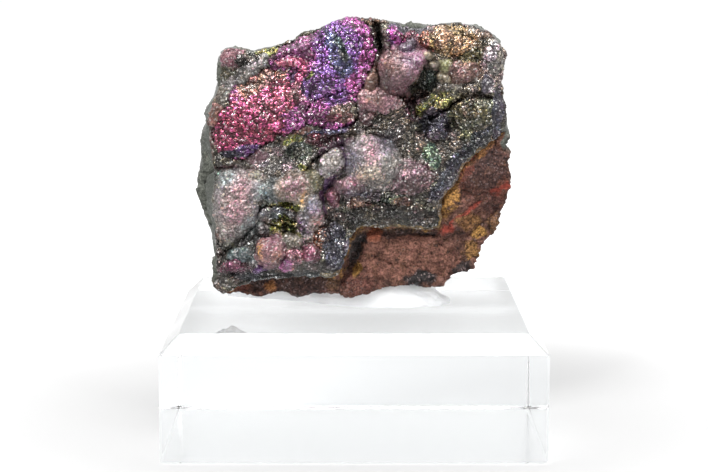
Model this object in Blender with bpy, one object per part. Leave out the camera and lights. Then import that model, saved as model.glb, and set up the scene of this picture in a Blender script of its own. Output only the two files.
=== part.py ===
"""Iridescent goethite specimen, set with clear putty on a bevelled acrylic block.

The stone is one solid. A goethite crust, cut off by a ledge at the lower right, is joined to the
rusty ironstone that it grew on. Each of the two starts as a cube divided into a grid. The cube's
x and z become the place in the outline, and its y becomes the depth, front to back. Lumps, pits,
grooves and fracture planes are then worked into the surface.

Sizes are in millimetres and are turned to metres when a mesh is filled. The origin is the middle
of the block's underside, +Z is up and the crust faces -Y.
"""

import math

import bmesh
import bpy
import numpy as np

MM = 0.001
GAP = 0.3

# The block: its side, its height, the bevel round its top, and its rounded upright corners.
BLOCK_SIDE = 60.0
BLOCK_HEIGHT = 20.0
BLOCK_BEVEL = 3.0
CORNER_RADIUS = 1.6
CORNER_STEPS = 5
EDGE_BREAK = 0.3

# Depths of the stone, measured along y.
CRUST_FRONT = -9.0
CRUST_BACK = -1.5
BURIED_FRONT = -3.4
BARE_FRONT = -5.4
STONE_BACK = 13.0
STONE_MIDDLE = np.array([0.0, 1.5, 45.0])
LEAST_CLEARANCE = 1.2

# The crust's middle, how far its back edge draws in under the ledge, and how its front rounds over
# at the rim: half the crust's size, and how far the rounding drops and reaches.
CRUST_MIDDLE = np.array([2.0, 46.0])
UNDERCUT = 0.95
HALF_WIDTH = 24.0
HALF_HEIGHT = 19.0
RIM_DROP = 1.1
RIM_REACH = 2.2

# Outlines are drawn on the plane y = CRUST_FRONT. Seen from the view point, they keep their
# place when they are carried back to another depth.
VIEW_POINT = np.array([0.0, -349.0, 81.4])

# The stone's girth, as four runs of (x, z): the top and the foot from left to right, and the
# two sides from the foot up.
GIRTH_TOP = (
    (-21.3, 62.3), (-20.3, 63.0), (-19.2, 63.2), (-18.0, 62.9), (-16.5, 62.4), (-13.5, 63.1),
    (-10.5, 64.0), (-9.0, 64.5), (-8.0, 65.2), (-7.0, 65.7), (-5.8, 65.7), (-4.6, 66.2),
    (-3.8, 67.0), (-2.6, 67.7), (-1.2, 68.0), (0.5, 67.8), (1.8, 67.5), (3.2, 67.8),
    (4.4, 67.3), (6.2, 67.2), (7.8, 66.8), (9.2, 67.0), (12.7, 66.6), (14.2, 66.8),
    (17.0, 66.8), (19.8, 66.5), (21.3, 65.8), (22.6, 65.0), (23.4, 64.0),
)
GIRTH_RIGHT = (
    (19.8, 27.7), (20.0, 29.2), (20.4, 30.6), (21.0, 32.0), (21.9, 32.4), (22.7, 33.0),
    (23.2, 34.6), (23.4, 36.6), (24.3, 38.0), (24.8, 39.6), (25.1, 42.2), (24.7, 43.8),
    (24.4, 44.8), (25.0, 46.3), (24.1, 47.5), (24.8, 48.6), (24.5, 50.2), (24.6, 51.5),
    (24.3, 54.0), (24.1, 55.8), (23.7, 57.2), (23.9, 59.0), (24.3, 60.8), (24.2, 62.2),
    (23.3, 63.2), (23.4, 64.0),
)
GIRTH_FOOT = (
    (-22.7, 24.0), (-22.2, 23.1), (-21.4, 22.6), (-20.4, 22.6), (-19.6, 23.2), (-18.2, 23.4),
    (-16.5, 22.9), (-15.2, 22.8), (-14.0, 23.4), (-12.8, 23.8), (-11.5, 23.5), (-9.8, 23.0),
    (-8.5, 22.9), (-6.8, 23.4), (-4.5, 23.3), (-2.4, 23.5), (-1.3, 22.7), (-0.4, 22.6),
    (1.0, 23.2), (3.0, 23.5), (5.0, 23.9), (7.0, 24.4), (9.7, 24.9), (11.5, 24.7),
    (13.9, 24.9), (14.3, 25.6), (16.2, 26.4), (17.4, 26.9), (18.8, 27.2), (19.8, 27.7),
)
GIRTH_LEFT = (
    (-22.7, 24.0), (-22.6, 25.4), (-22.2, 26.4), (-22.9, 27.3), (-23.1, 28.2), (-22.6, 29.4),
    (-22.8, 31.5), (-22.9, 33.2), (-23.4, 34.6), (-24.0, 36.0), (-24.3, 37.6), (-25.0, 38.9),
    (-25.3, 40.0), (-24.9, 41.6), (-24.6, 43.5), (-24.4, 46.0), (-24.4, 48.2), (-23.9, 50.2),
    (-23.6, 51.2), (-23.9, 52.4), (-23.5, 53.4), (-22.8, 54.4), (-22.3, 55.5), (-21.9, 57.0),
    (-21.9, 59.5), (-21.7, 61.2), (-21.3, 62.3),
)

# The crust's front rim, drawn in the same way. Its foot and lower right side are the ledge.
RIM_TOP = (
    (-20.7, 61.9), (-19.4, 62.4), (-16.5, 61.7), (-13.4, 62.5), (-10.4, 63.4), (-8.0, 64.5),
    (-5.8, 65.1), (-3.6, 66.2), (-1.2, 67.3), (1.2, 66.9), (3.2, 67.0), (5.5, 66.3),
    (8.0, 65.5), (10.3, 64.9), (13.0, 65.8), (16.5, 66.3), (19.5, 65.6), (21.5, 64.3),
    (22.8, 63.0),
)
LEDGE_RIGHT = (
    (13.7, 34.0), (14.1, 35.4), (13.9, 37.0), (14.1, 38.7), (14.9, 39.9), (15.9, 40.7),
    (16.6, 42.0), (17.2, 43.3), (17.9, 44.5), (18.9, 45.5), (20.2, 46.5), (21.3, 47.6),
    (22.4, 48.9), (23.2, 50.2), (23.7, 51.6), (23.6, 54.0), (23.3, 56.0), (23.0, 57.4),
    (23.2, 59.2), (23.5, 60.8), (23.3, 62.0), (22.8, 63.0),
)
LEDGE_FOOT = (
    (-22.0, 24.4), (-21.0, 23.5), (-20.0, 23.9), (-18.5, 24.7), (-17.0, 25.3), (-15.5, 25.8),
    (-13.6, 26.1), (-11.0, 26.1), (-8.0, 26.3), (-5.5, 26.1), (-3.8, 26.0), (-2.7, 26.5),
    (-2.1, 27.6), (-1.8, 29.0), (-1.5, 30.5), (-1.0, 31.8), (-0.4, 32.9), (0.4, 33.7),
    (1.4, 34.2), (4.0, 34.1), (6.0, 34.3), (8.0, 34.1), (10.0, 33.9), (12.0, 33.8),
    (13.7, 34.0),
)
RIM_LEFT = (
    (-22.0, 24.4), (-21.6, 26.4), (-22.1, 28.2), (-21.8, 30.0), (-22.1, 33.0), (-22.2, 35.5),
    (-22.6, 38.0), (-22.4, 40.5), (-22.0, 43.0), (-22.6, 45.5), (-23.1, 48.4), (-22.9, 50.4),
    (-23.1, 52.4), (-22.3, 54.2), (-21.2, 56.5), (-21.1, 59.0), (-21.0, 60.8), (-20.7, 61.9),
)

# The iridescent plate in the upper left stands a little proud of the crust, behind a crack.
PLATE_OUTLINE = (
    (-22.8, 49.5), (-21.9, 51.0), (-21.7, 52.2), (-21.0, 53.1), (-19.9, 53.6), (-20.1, 54.5),
    (-19.7, 55.4), (-19.1, 56.4), (-18.2, 57.0), (-17.2, 57.2), (-16.5, 58.0), (-15.5, 58.4),
    (-14.8, 59.2), (-13.9, 59.7), (-13.0, 60.0), (-13.8, 61.0), (-12.6, 61.9), (-11.7, 62.9),
    (-8.7, 64.3), (-5.5, 65.6), (-3.8, 66.8), (-1.2, 67.8), (0.8, 67.5), (2.2, 66.4),
    (3.0, 64.8), (3.3, 62.6), (3.2, 60.3), (2.3, 59.3), (1.9, 57.2), (0.7, 55.5),
    (0.3, 54.3), (0.8, 52.2), (0.1, 51.0), (-1.5, 50.2), (-3.0, 49.8), (-5.8, 50.4),
    (-7.8, 51.0), (-9.0, 49.8), (-11.3, 48.9), (-12.6, 49.2), (-13.2, 48.2), (-14.4, 47.3),
    (-16.3, 46.0), (-17.6, 45.3), (-19.4, 45.0), (-20.9, 45.6), (-21.9, 46.9), (-22.5, 48.2),
)
PLATE_RISE = 0.5
CRACK_HALF_WIDTH = 0.22
CRACK_DEPTH = 0.7

# Broad swells and hollows of the crust: x, z, half width, half height, turn in degrees, rise.
CRUST_SWELLS = (
    (-1.0, 62.5, 5.5, 6.0, 0, 1.3),
    (-15.0, 52.5, 8.0, 5.0, 25, 1.1),
    (-18.0, 59.5, 4.0, 2.0, 35, -0.7),
    (12.8, 51.0, 5.0, 4.5, 30, -1.7),
    (20.0, 61.0, 5.0, 5.0, 0, 0.4),
    (2.5, 44.0, 7.0, 6.0, 0, 0.9),
    (-18.2, 37.6, 3.6, 5.0, -6, 2.4),
    (-12.0, 45.0, 8.0, 2.2, 8, -0.7),
    (-11.5, 34.5, 6.0, 3.5, 0, -0.9),
    (6.0, 34.6, 10.0, 2.2, 0, -1.3),
    (-11.0, 26.0, 11.0, 1.6, 0, -1.4),
    (15.5, 41.0, 2.5, 6.0, -35, -0.9),
    # Low lobes of the iridescent plate.
    (-9.8, 58.6, 2.6, 2.0, 0, 0.8),
    (-16.3, 51.6, 4.2, 3.2, 15, 0.8),
    (-10.3, 50.6, 2.0, 1.2, 0, 0.6),
    (-3.4, 52.6, 3.0, 1.7, 0, 0.9),
    (-4.8, 57.6, 2.6, 2.0, 20, 0.6),
    (-0.4, 63.2, 2.6, 3.2, 0, 0.9),
    (-7.4, 63.0, 3.2, 1.2, 18, 0.5),
)

# Rounded lumps of the crust: x, z, half width, half height, turn in degrees, rise.
CRUST_LUMPS = (
    # The upper knob, the small lobes round it and its shoulder below.
    (7.2, 59.3, 3.6, 3.9, -20, 4.2),
    (9.1, 61.2, 2.6, 2.2, 0, 2.6),
    (8.6, 63.3, 1.6, 1.0, 0, 1.6),
    (11.4, 61.9, 1.1, 1.3, 0, 1.6),
    (3.0, 57.6, 0.9, 1.9, 0, 0.8),
    (3.9, 54.3, 3.4, 1.9, 0, 1.8),
    (2.4, 51.6, 1.8, 1.1, 0, 0.9),
    # The lobes right of the deep hollow.
    (15.0, 59.7, 1.6, 1.3, -20, 2.0),
    (12.6, 59.7, 1.1, 0.8, 0, 1.3),
    (14.6, 57.9, 1.4, 0.9, 0, 1.2),
    (17.4, 58.9, 2.0, 1.7, 0, 1.5),
    (15.7, 56.4, 2.1, 1.0, 20, 0.9),
    # The middle knob and its lobes.
    (2.9, 44.3, 4.6, 4.5, 0, 4.2),
    (1.9, 46.4, 2.9, 2.7, 0, 3.4),
    (-3.3, 44.0, 2.0, 2.1, 0, 1.9),
    (-0.5, 40.4, 2.4, 1.7, -10, 1.6),
    (-3.1, 38.7, 1.0, 1.0, 0, 1.0),
    (2.9, 38.9, 2.6, 0.9, 5, 0.7),
    # The lower left dome and the lower domes right of it.
    (-18.3, 37.8, 4.2, 5.4, -8, 2.4),
    (-12.7, 39.8, 2.1, 1.9, 0, 1.3),
    (-9.2, 40.0, 2.4, 2.3, 0, 2.0),
    (-6.4, 41.2, 1.8, 1.6, 0, 1.5),
    (-7.0, 36.0, 1.8, 3.1, 5, 1.9),
    (-8.6, 37.2, 1.0, 0.9, 0, 1.2),
    # The row of lumps above the lower edge.
    (-13.6, 30.0, 2.3, 2.5, 0, 2.1),
    (-9.9, 28.9, 1.3, 1.6, 0, 1.3),
    (-10.2, 31.7, 1.7, 1.2, 0, 1.1),
    (-7.0, 29.8, 1.2, 1.8, 0, 1.3),
    (-5.3, 32.6, 1.0, 1.7, -15, 1.0),
    (-19.6, 27.3, 2.2, 1.1, 20, 1.3),
    (-15.9, 27.4, 0.9, 0.7, 0, 0.8),
    (-18.5, 29.7, 1.9, 1.2, 20, 0.9),
    (-14.7, 33.6, 1.4, 0.9, 0, 0.9),
    # Knobs on the upper left rim.
    (-19.5, 61.3, 2.1, 2.0, 0, 1.5),
    (-22.4, 52.7, 1.2, 1.5, 0, 0.9),
    # Swellings of the drusy ground on the right.
    (14.6, 64.1, 4.2, 1.9, -20, 1.3),
    (22.0, 61.0, 2.2, 3.0, 0, 1.1),
    (6.0, 65.0, 1.8, 1.6, 0, 1.2),
    (6.2, 62.9, 0.9, 1.1, 0, 1.0),
    (19.3, 52.6, 4.2, 2.6, 10, 1.1),
    (13.4, 49.7, 2.0, 2.0, 0, 0.9),
    (12.3, 44.7, 1.4, 1.8, 0, 1.1),
    (9.4, 41.3, 4.2, 2.7, 0, 1.0),
)

# Grooves and, with a negative depth, ridges: half width, depth and a run of (x, z).
CRUST_GROOVES = (
    (0.55, 3.4, ((3.5, 66.9), (3.8, 65.0), (4.2, 63.4), (4.6, 61.8))),
    (0.32, 1.2, ((4.2, 61.2), (3.9, 59.4), (4.0, 57.4), (4.6, 56.1), (6.2, 55.5), (8.2, 55.2))),
    (0.25, 0.6, ((-7.8, 52.4), (-7.0, 53.7), (-6.0, 54.6), (-4.0, 55.1), (-2.0, 55.8))),
    (0.50, 1.2, ((-21.9, 43.5), (-19.2, 43.7), (-16.4, 43.4))),
    (0.45, 1.7, ((-7.6, 43.3), (-6.5, 44.5), (-5.3, 45.7), (-3.7, 46.6), (-1.4, 47.3))),
    (0.50, 1.3, ((-1.6, 46.0), (-1.5, 44.4), (-2.1, 42.8), (-3.7, 41.3), (-4.8, 40.0), (-5.1, 38.3),
                 (-4.8, 35.4))),
    (0.25, 0.6, ((7.0, 43.0), (5.9, 41.6), (4.4, 40.5), (3.0, 40.0))),
    (0.90, 1.8, ((9.4, 54.0), (10.4, 51.6), (10.7, 49.6))),
    (0.60, -1.1, ((11.0, 51.7), (12.4, 53.2), (14.2, 54.3), (15.6, 54.9), (17.0, 55.9), (19.6, 56.3))),
    (0.50, 1.5, ((12.4, 51.6), (14.1, 52.7), (16.0, 54.0), (17.5, 54.9), (20.0, 55.4), (22.0, 54.6))),
    (0.30, 1.0, ((-15.6, 36.9), (-14.0, 37.5), (-12.0, 37.4), (-10.2, 37.4), (-9.2, 36.6))),
    (0.35, 1.3, ((-15.6, 36.7), (-15.7, 35.3), (-14.4, 34.5), (-12.8, 34.4))),
    (0.30, 0.9, ((-12.6, 35.2), (-10.5, 35.2), (-9.0, 34.9))),
    (0.55, -0.7, ((-15.0, 35.9), (-12.6, 35.8), (-9.7, 36.4))),
    (0.55, 1.6, ((-15.8, 34.6), (-17.5, 33.2), (-19.0, 31.7), (-20.4, 30.4), (-21.3, 29.6))),
    (0.55, -0.9, ((-6.4, 48.4), (-4.4, 49.2), (-2.0, 49.5), (1.5, 49.4), (5.0, 49.3))),
    (0.20, 0.5, ((-2.6, 36.3), (-1.2, 37.5), (1.0, 38.5), (2.4, 38.0), (4.0, 38.2), (6.4, 37.7),
                 (8.6, 37.4))),
)

# Pits of the crust: x, z, half width, half height, turn in degrees, depth.
CRUST_PITS = (
    (11.4, 57.1, 2.3, 2.4, 0, 3.6),
    (9.9, 55.2, 2.6, 1.1, 0, 2.6),
    (-11.3, 33.6, 1.5, 0.9, 0, 2.4),
    (-9.7, 33.6, 0.8, 0.9, 0, 1.4),
    (-2.9, 40.4, 0.8, 0.8, 0, 1.3),
    (15.7, 50.4, 1.2, 1.3, 0, 1.3),
)

# The bare ironstone at the lower right: swells, lumps and grooves as above.
IRONSTONE_SWELLS = (
    (8.0, 27.0, 9.0, 3.5, 8, 1.0),
    (20.5, 42.5, 4.0, 6.0, 0, 2.2),
    (15.5, 37.5, 2.5, 3.5, -20, 1.8),
    (18.5, 30.0, 2.5, 3.5, 0, -0.8),
    (-11.0, 24.6, 9.0, 1.4, 0, -0.6),
)
IRONSTONE_LUMPS = (
    (3.4, 33.0, 1.4, 1.2, 0, 1.3),
    (21.6, 43.2, 3.2, 4.4, 0, 1.0),
    (23.6, 47.9, 1.6, 1.5, 40, 1.3),
    (20.9, 47.0, 2.0, 0.8, 48, 0.9),
    (22.4, 34.6, 1.3, 2.1, 0, 0.9),
    (15.4, 38.8, 1.2, 2.2, -25, 0.9),
    (10.6, 25.8, 2.2, 1.0, 8, 0.8),
    (13.4, 25.5, 0.9, 0.7, 0, 0.7),
    (17.6, 27.6, 1.8, 0.8, 14, 0.8),
    (2.6, 26.6, 1.1, 1.1, 0, 0.7),
    (0.6, 24.4, 2.4, 1.3, 10, 0.8),
)
IRONSTONE_GROOVES = (
    (1.00, 1.4, ((-2.0, 26.0), (-0.6, 29.5), (0.6, 32.4), (2.2, 33.2), (6.0, 33.2), (9.0, 33.0),
                 (12.6, 32.9))),
    (0.50, -0.8, ((14.3, 33.4), (17.0, 35.7), (19.4, 37.5), (21.2, 38.3))),
    (0.45, 0.9, ((20.9, 32.0), (21.3, 33.8), (22.0, 35.6), (22.6, 37.4))),
    (0.40, 0.7, ((0.4, 27.8), (1.9, 27.4), (3.4, 26.9), (4.2, 25.4), (5.6, 24.6))),
)

# Planes that the rock broke along, at its back and sides: the outward direction, and the distance
# of the plane from the stone's middle.
FRACTURES = (
    ((0.10, 0.98, 0.12), 10.3),
    ((0.30, 0.72, 0.62), 17.6),
    ((-0.55, 0.66, 0.50), 19.0),
    ((-0.80, 0.58, -0.12), 19.4),
    ((0.82, 0.56, -0.05), 19.0),
    ((0.66, 0.42, -0.62), 20.6),
    ((-0.25, 0.66, -0.70), 18.0),
    ((0.72, 0.40, 0.58), 25.2),
    ((-0.45, 0.40, -0.80), 24.4),
    ((0.15, 0.30, 0.94), 21.9),
)

# Hollows in the back: x, z, half width, half height, turn in degrees, depth.
BACK_PITS = (
    (-8.5, 50.5, 5.5, 3.6, 25, 2.2),
    (9.0, 41.0, 4.0, 5.5, -15, 1.8),
    (-4.0, 33.5, 3.6, 2.4, 10, 1.5),
    (12.5, 56.0, 3.2, 2.6, 0, 1.3),
)
BACK_LUMPS = (
    (-9.6, 51.0, 1.8, 1.5, 0, 1.5),
    (-7.0, 49.6, 1.5, 1.2, 0, 1.2),
    (-6.6, 52.2, 1.2, 1.0, 0, 1.0),
    (2.0, 54.0, 4.5, 3.0, -20, 1.2),
    (-14.0, 40.0, 4.0, 5.0, 10, 1.1),
    (10.0, 39.0, 1.4, 1.6, 0, 1.0),
)

# The grid of each cube, the share of its triangles kept once flat places are thinned, and the
# least half width of a groove that the grid can show.
CRUST_GRID = (100, 5, 92)
CRUST_SHARE = 0.15
ROCK_GRID = (44, 16, 44)
ROCK_SHARE = 0.21
FINEST_GROOVE = 0.45

# The power that shapes a lump: half makes it a half ball, and one a soft cap.
CAP_ROUNDNESS = 0.75

# The putty: middle, half length, half depth, and height over the block at each end.
PUTTY_MIDDLE = (-2.6, 1.0)
PUTTY_HALF_LENGTH = 19.0
PUTTY_HALF_DEPTH = 7.4
PUTTY_LEFT_HEIGHT = 4.0
PUTTY_RIGHT_HEIGHT = 6.6
PUTTY_SEGMENTS = 24
PUTTY_RINGS = 8


def lattice(points, seed):
    """Smooth random values from -1 to 1: one value at each whole-number point, blended between."""
    cell = np.floor(points).astype(np.int64)
    part = points - cell
    part = part * part * (3 - 2 * part)
    total = np.zeros(len(points))
    for corner in np.ndindex(2, 2, 2):
        x, y, z = (cell + corner).T
        mixed = (x * 73856093) ^ (y * 19349663) ^ (z * 83492791) ^ (seed * 2654435761)
        mixed = ((mixed ^ (mixed >> 13)) * 1274126177) & 0x7FFFFFFF
        value = ((mixed ^ (mixed >> 16)) & 0xFFFF) / 32767.5 - 1
        total += value * np.prod(np.where(corner, part, 1 - part), axis=1)
    return total


def fractal(points, size, octaves, seed):
    """Random values with features of the given size, and of half that size at half the height."""
    total = np.zeros(len(points))
    for octave in range(octaves):
        total += lattice(points * (2**octave / size) + 17.3 * octave, seed + octave) / 2**octave
    return total


def along(run, share):
    """Points at the given shares of the length of a run of points."""
    run = np.array(run)
    length = np.concatenate([[0], np.cumsum(np.linalg.norm(np.diff(run, axis=0), axis=1))])
    return np.stack([np.interp(share * length[-1], length, run[:, i]) for i in (0, 1)], axis=1)


def patch(top, right, foot, left, across, up):
    """A Coons patch: each point blends the four edge runs by its shares across and up."""
    a, u = across[:, None], up[:, None]
    ruled = (1 - u) * along(foot, across) + u * along(top, across)
    sides = (1 - a) * along(left, up) + a * along(right, up)
    corners = (1 - u) * ((1 - a) * np.array(foot[0]) + a * np.array(foot[-1]))
    corners += u * ((1 - a) * np.array(top[0]) + a * np.array(top[-1]))
    return ruled + sides - corners


def carried(flat, depth):
    """Points (x, z) of the front plane, carried along the lines of sight to their depth."""
    reach = (depth - VIEW_POINT[1]) / (CRUST_FRONT - VIEW_POINT[1])
    return VIEW_POINT[[0, 2]] + (flat - VIEW_POINT[[0, 2]]) * reach[:, None]


def distance_to_run(flat, run):
    """Distance from each point (x, z) to the nearest point of a run."""
    run = np.array(run)
    nearest = np.full(len(flat), np.inf)
    for start, end in zip(run[:-1], run[1:]):
        step = end - start
        share = np.clip(((flat - start) @ step) / (step @ step), 0, 1)
        nearest = np.minimum(nearest, np.linalg.norm(flat - start - share[:, None] * step, axis=1))
    return nearest


def depth_inside(flat, outline):
    """Distance to a closed outline, positive inside it and negative outside."""
    loop = np.array(outline + outline[:1])
    crossings = np.zeros(len(flat), int)
    for (x0, z0), (x1, z1) in zip(loop[:-1], loop[1:]):
        spans = (z0 > flat[:, 1]) != (z1 > flat[:, 1])
        if z0 != z1:
            crossings += spans & (flat[:, 0] < x0 + (flat[:, 1] - z0) * (x1 - x0) / (z1 - z0))
    return np.where(crossings % 2 == 1, 1, -1) * distance_to_run(flat, loop)


def radius_squared(flat, x, z, wide, high, turn):
    """Squared distance from an ellipse's middle, 1 on the ellipse itself."""
    c, s = math.cos(math.radians(turn)), math.sin(math.radians(turn))
    dx, dz = flat[:, 0] - x, flat[:, 1] - z
    return ((dx * c + dz * s) / wide) ** 2 + ((dz * c - dx * s) / high) ** 2


def swelling(flat, swells):
    """The sum of soft bell-shaped rises."""
    return sum(rise * np.exp(-radius_squared(flat, *place)) for *place, rise in swells)


def lumps(flat, rows):
    """The highest of a set of round caps, so that neighbours meet in a crease."""
    top = np.zeros(len(flat))
    for *place, rise in rows:
        top = np.maximum(top, rise * np.clip(1 - radius_squared(flat, *place), 0, 1) ** CAP_ROUNDNESS)
    return top


def grooves(flat, rows):
    """The sum of grooves with a bell-shaped section, widened to what the grid can show."""
    total = np.zeros(len(flat))
    for half_width, depth, run in rows:
        shown = max(half_width, FINEST_GROOVE)
        total += depth * half_width / shown * np.exp(-((distance_to_run(flat, run) / shown) ** 2))
    return total


def smooth_step(value, low, high):
    """0 below low, 1 above high, and a smooth rise between."""
    share = np.clip((value - low) / (high - low), 0, 1)
    return share * share * (3 - 2 * share)


def crust_relief(flat):
    """Height of the crust over its front plane: swells, lumps, pits, grooves and the plate."""
    height = swelling(flat, CRUST_SWELLS) + lumps(flat, CRUST_LUMPS)
    height -= lumps(flat, CRUST_PITS) + grooves(flat, CRUST_GROOVES)
    inside = depth_inside(flat, PLATE_OUTLINE)
    height += PLATE_RISE * smooth_step(inside, -0.3, 0.5)
    crack_depth = CRACK_DEPTH * CRACK_HALF_WIDTH / FINEST_GROOVE
    height -= crack_depth * np.exp(-((inside / FINEST_GROOVE) ** 2))
    spot = np.column_stack([flat[:, 0], np.zeros(len(flat)), flat[:, 1]])
    return height + 0.4 * fractal(spot, 3.5, 3, 3)


def ironstone_relief(flat):
    """Height of the bare ironstone over its own front plane."""
    height = swelling(flat, IRONSTONE_SWELLS) + lumps(flat, IRONSTONE_LUMPS)
    height -= grooves(flat, IRONSTONE_GROOVES)
    spot = np.column_stack([flat[:, 0], np.ones(len(flat)), flat[:, 1]])
    return height + 0.45 * fractal(spot, 4.0, 2, 8)


def outward(cube):
    """A direction out of the rounded cube, close to each face's own direction."""
    direction = cube**5
    return direction / np.linalg.norm(direction, axis=1)[:, None]


def crust_shape(cube):
    """The crust: a slab between its relief and its buried back, with its walls flared to the girth."""
    across, deep, up = ((cube + 1) / 2).T
    rim = patch(RIM_TOP, LEDGE_RIGHT, LEDGE_FOOT, RIM_LEFT, across, up)
    girth = patch(GIRTH_TOP, GIRTH_RIGHT, GIRTH_FOOT, GIRTH_LEFT, across, up)
    # The ledge leans back under itself, and the other walls run out to the girth.
    right_ledge = smooth_step(across, 0.86, 1.0) * (1 - smooth_step(up, 0.45, 0.62))
    ledge = np.clip(1 - smooth_step(up, 0.0, 0.12) + right_ledge, 0, 1)[:, None]
    undercut = CRUST_MIDDLE + (rim - CRUST_MIDDLE) * UNDERCUT
    back = undercut + (girth - undercut) * (1 - ledge) * 0.97
    flat = rim + (back - rim) * smooth_step(deep, 0.0, 0.75)[:, None]
    # The front rounds over at its rim.
    to_rim = np.minimum((1 - np.abs(cube[:, 0])) * HALF_WIDTH, (1 - np.abs(cube[:, 2])) * HALF_HEIGHT)
    front = CRUST_FRONT - crust_relief(rim) + RIM_DROP * (1 - smooth_step(to_rim, 0, RIM_REACH))
    spot = np.column_stack([rim[:, 0], np.zeros(len(rim)), rim[:, 1]])
    buried_edge = CRUST_BACK + 1.3 * fractal(spot, 7.0, 2, 51)
    depth = front + (buried_edge - front) * deep
    flat = carried(flat, depth)
    points = np.column_stack([flat[:, 0], depth, flat[:, 1]])
    rough = 0.35 * fractal(points, 3.0, 2, 21) * smooth_step(deep, 0.0, 0.3)
    return points + outward(cube) * rough[:, None]


def rock_shape(cube):
    """The ironstone: from its front, bare or buried under the crust, to its broken back."""
    across, deep, up = ((cube + 1) / 2).T
    girth = patch(GIRTH_TOP, GIRTH_RIGHT, GIRTH_FOOT, GIRTH_LEFT, across, up)
    middle = STONE_MIDDLE[[0, 2]]
    # The walls start inside the crust, reach the girth at a fifth of the depth and draw in
    # towards the back.
    spread = 0.965 + 0.035 * smooth_step(deep, 0.0, 0.2) - 0.13 * smooth_step(deep, 0.35, 1.0)
    flat = middle + (girth - middle) * spread[:, None]
    crust_rim = LEDGE_FOOT + LEDGE_RIGHT[1:] + RIM_TOP[-2::-1] + RIM_LEFT[-2:0:-1]
    buried = smooth_step(depth_inside(flat, crust_rim), 0.2, 1.6)
    front = BARE_FRONT - ironstone_relief(flat)
    front += (BURIED_FRONT - front) * buried
    # The bare front keeps the whole outline, because nothing covers its edge.
    bare = (1 - buried) * (1 - smooth_step(deep, 0.0, 0.2))
    flat += (girth - flat) * (0.85 * bare)[:, None]
    back = STONE_BACK - lumps(flat, BACK_PITS) + lumps(flat, BACK_LUMPS)
    depth = front + (back - front) * deep
    flat = carried(flat, depth)
    points = np.column_stack([flat[:, 0], depth, flat[:, 1]])
    for direction, reach in FRACTURES:
        direction = np.array(direction) / np.linalg.norm(direction)
        beyond = (points - STONE_MIDDLE) @ direction - reach
        points -= np.clip(beyond, 0, None)[:, None] * direction * 0.92
    # Soft and hard beds alternate from front to back, and show as shallow steps on the walls.
    beds = 0.45 * np.sin(points[:, 1] * 1.15 + 1.5 * lattice(points / 9, 40))
    beds *= smooth_step(deep, 0.15, 0.3)
    rough = 0.9 * fractal(points, 6.0, 3, 31) * smooth_step(deep, 0.1, 0.4)
    points += outward(cube) * (rough + beds)[:, None]
    # The foot stays clear of the block.
    points[:, 2] = np.maximum(points[:, 2], BLOCK_HEIGHT + LEAST_CLEARANCE)
    return points


def new_material(name, colour, roughness, metallic=0.0, transmission=0.0, ior=1.5):
    """A Principled surface with the piece's colour, linear and from 0 to 1."""
    material = bpy.data.materials.new(name)
    material.use_nodes = True
    shader = material.node_tree.nodes["Principled BSDF"]
    shader.inputs["Base Color"].default_value = (*colour, 1)
    shader.inputs["Roughness"].default_value = roughness
    shader.inputs["Metallic"].default_value = metallic
    shader.inputs["Transmission Weight"].default_value = transmission
    shader.inputs["IOR"].default_value = ior
    return material


def new_object(name, work, collection, material=None):
    """An object made from a finished bmesh whose points are in millimetres."""
    bmesh.ops.recalc_face_normals(work, faces=work.faces)
    bmesh.ops.scale(work, vec=(MM, MM, MM), verts=work.verts)
    mesh = bpy.data.meshes.new(name)
    work.to_mesh(mesh)
    work.free()
    if material:
        mesh.materials.append(material)
    made = bpy.data.objects.new(name, mesh)
    collection.objects.link(made)
    return made


def hide_helper(helper):
    """Marks an object as a helper that isn't a part."""
    helper.hide_render = True
    helper.display_type = "WIRE"


def join_or_cut(target, other, operation):
    """Adds a Boolean modifier that uses another object."""
    modifier = target.modifiers.new(other.name, "BOOLEAN")
    modifier.operation = operation
    modifier.object = other


def divided_cube(counts):
    """A two-unit cube whose faces are divided into a grid, with the given counts along x, y and z."""
    work = bmesh.new()
    bmesh.ops.create_cube(work, size=2.0)
    for axis, count in enumerate(counts):
        lengthwise = [e for e in work.edges if abs(e.verts[0].co[axis] - e.verts[1].co[axis]) > 0.01]
        bmesh.ops.subdivide_edges(work, edges=lengthwise, cuts=count - 1, use_grid_fill=True)
    return work


def shaped_cube(counts, shape):
    """A divided cube with its points moved by a shape function."""
    work = divided_cube(counts)
    cube = np.array([v.co for v in work.verts])
    for vertex, place in zip(work.verts, shape(cube)):
        vertex.co = place
    return work


def thin_out(target, share):
    """Adds a modifier that keeps a share of the triangles, most of them where the form turns."""
    modifier = target.modifiers.new("thinned", "DECIMATE")
    modifier.ratio = share


def rounded_square(side, radius):
    """Points (x, y) round a square with round corners, counter-clockwise."""
    points = []
    for quarter in range(4):
        corner = math.pi / 2 * quarter
        turn = np.array([[math.cos(corner), -math.sin(corner)],
                         [math.sin(corner), math.cos(corner)]])
        for step in range(CORNER_STEPS + 1):
            angle = math.pi / 2 * step / CORNER_STEPS
            reach = side / 2 - radius
            place = np.array([reach + radius * math.cos(angle), reach + radius * math.sin(angle)])
            points.append(turn @ place)
    return points


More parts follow.
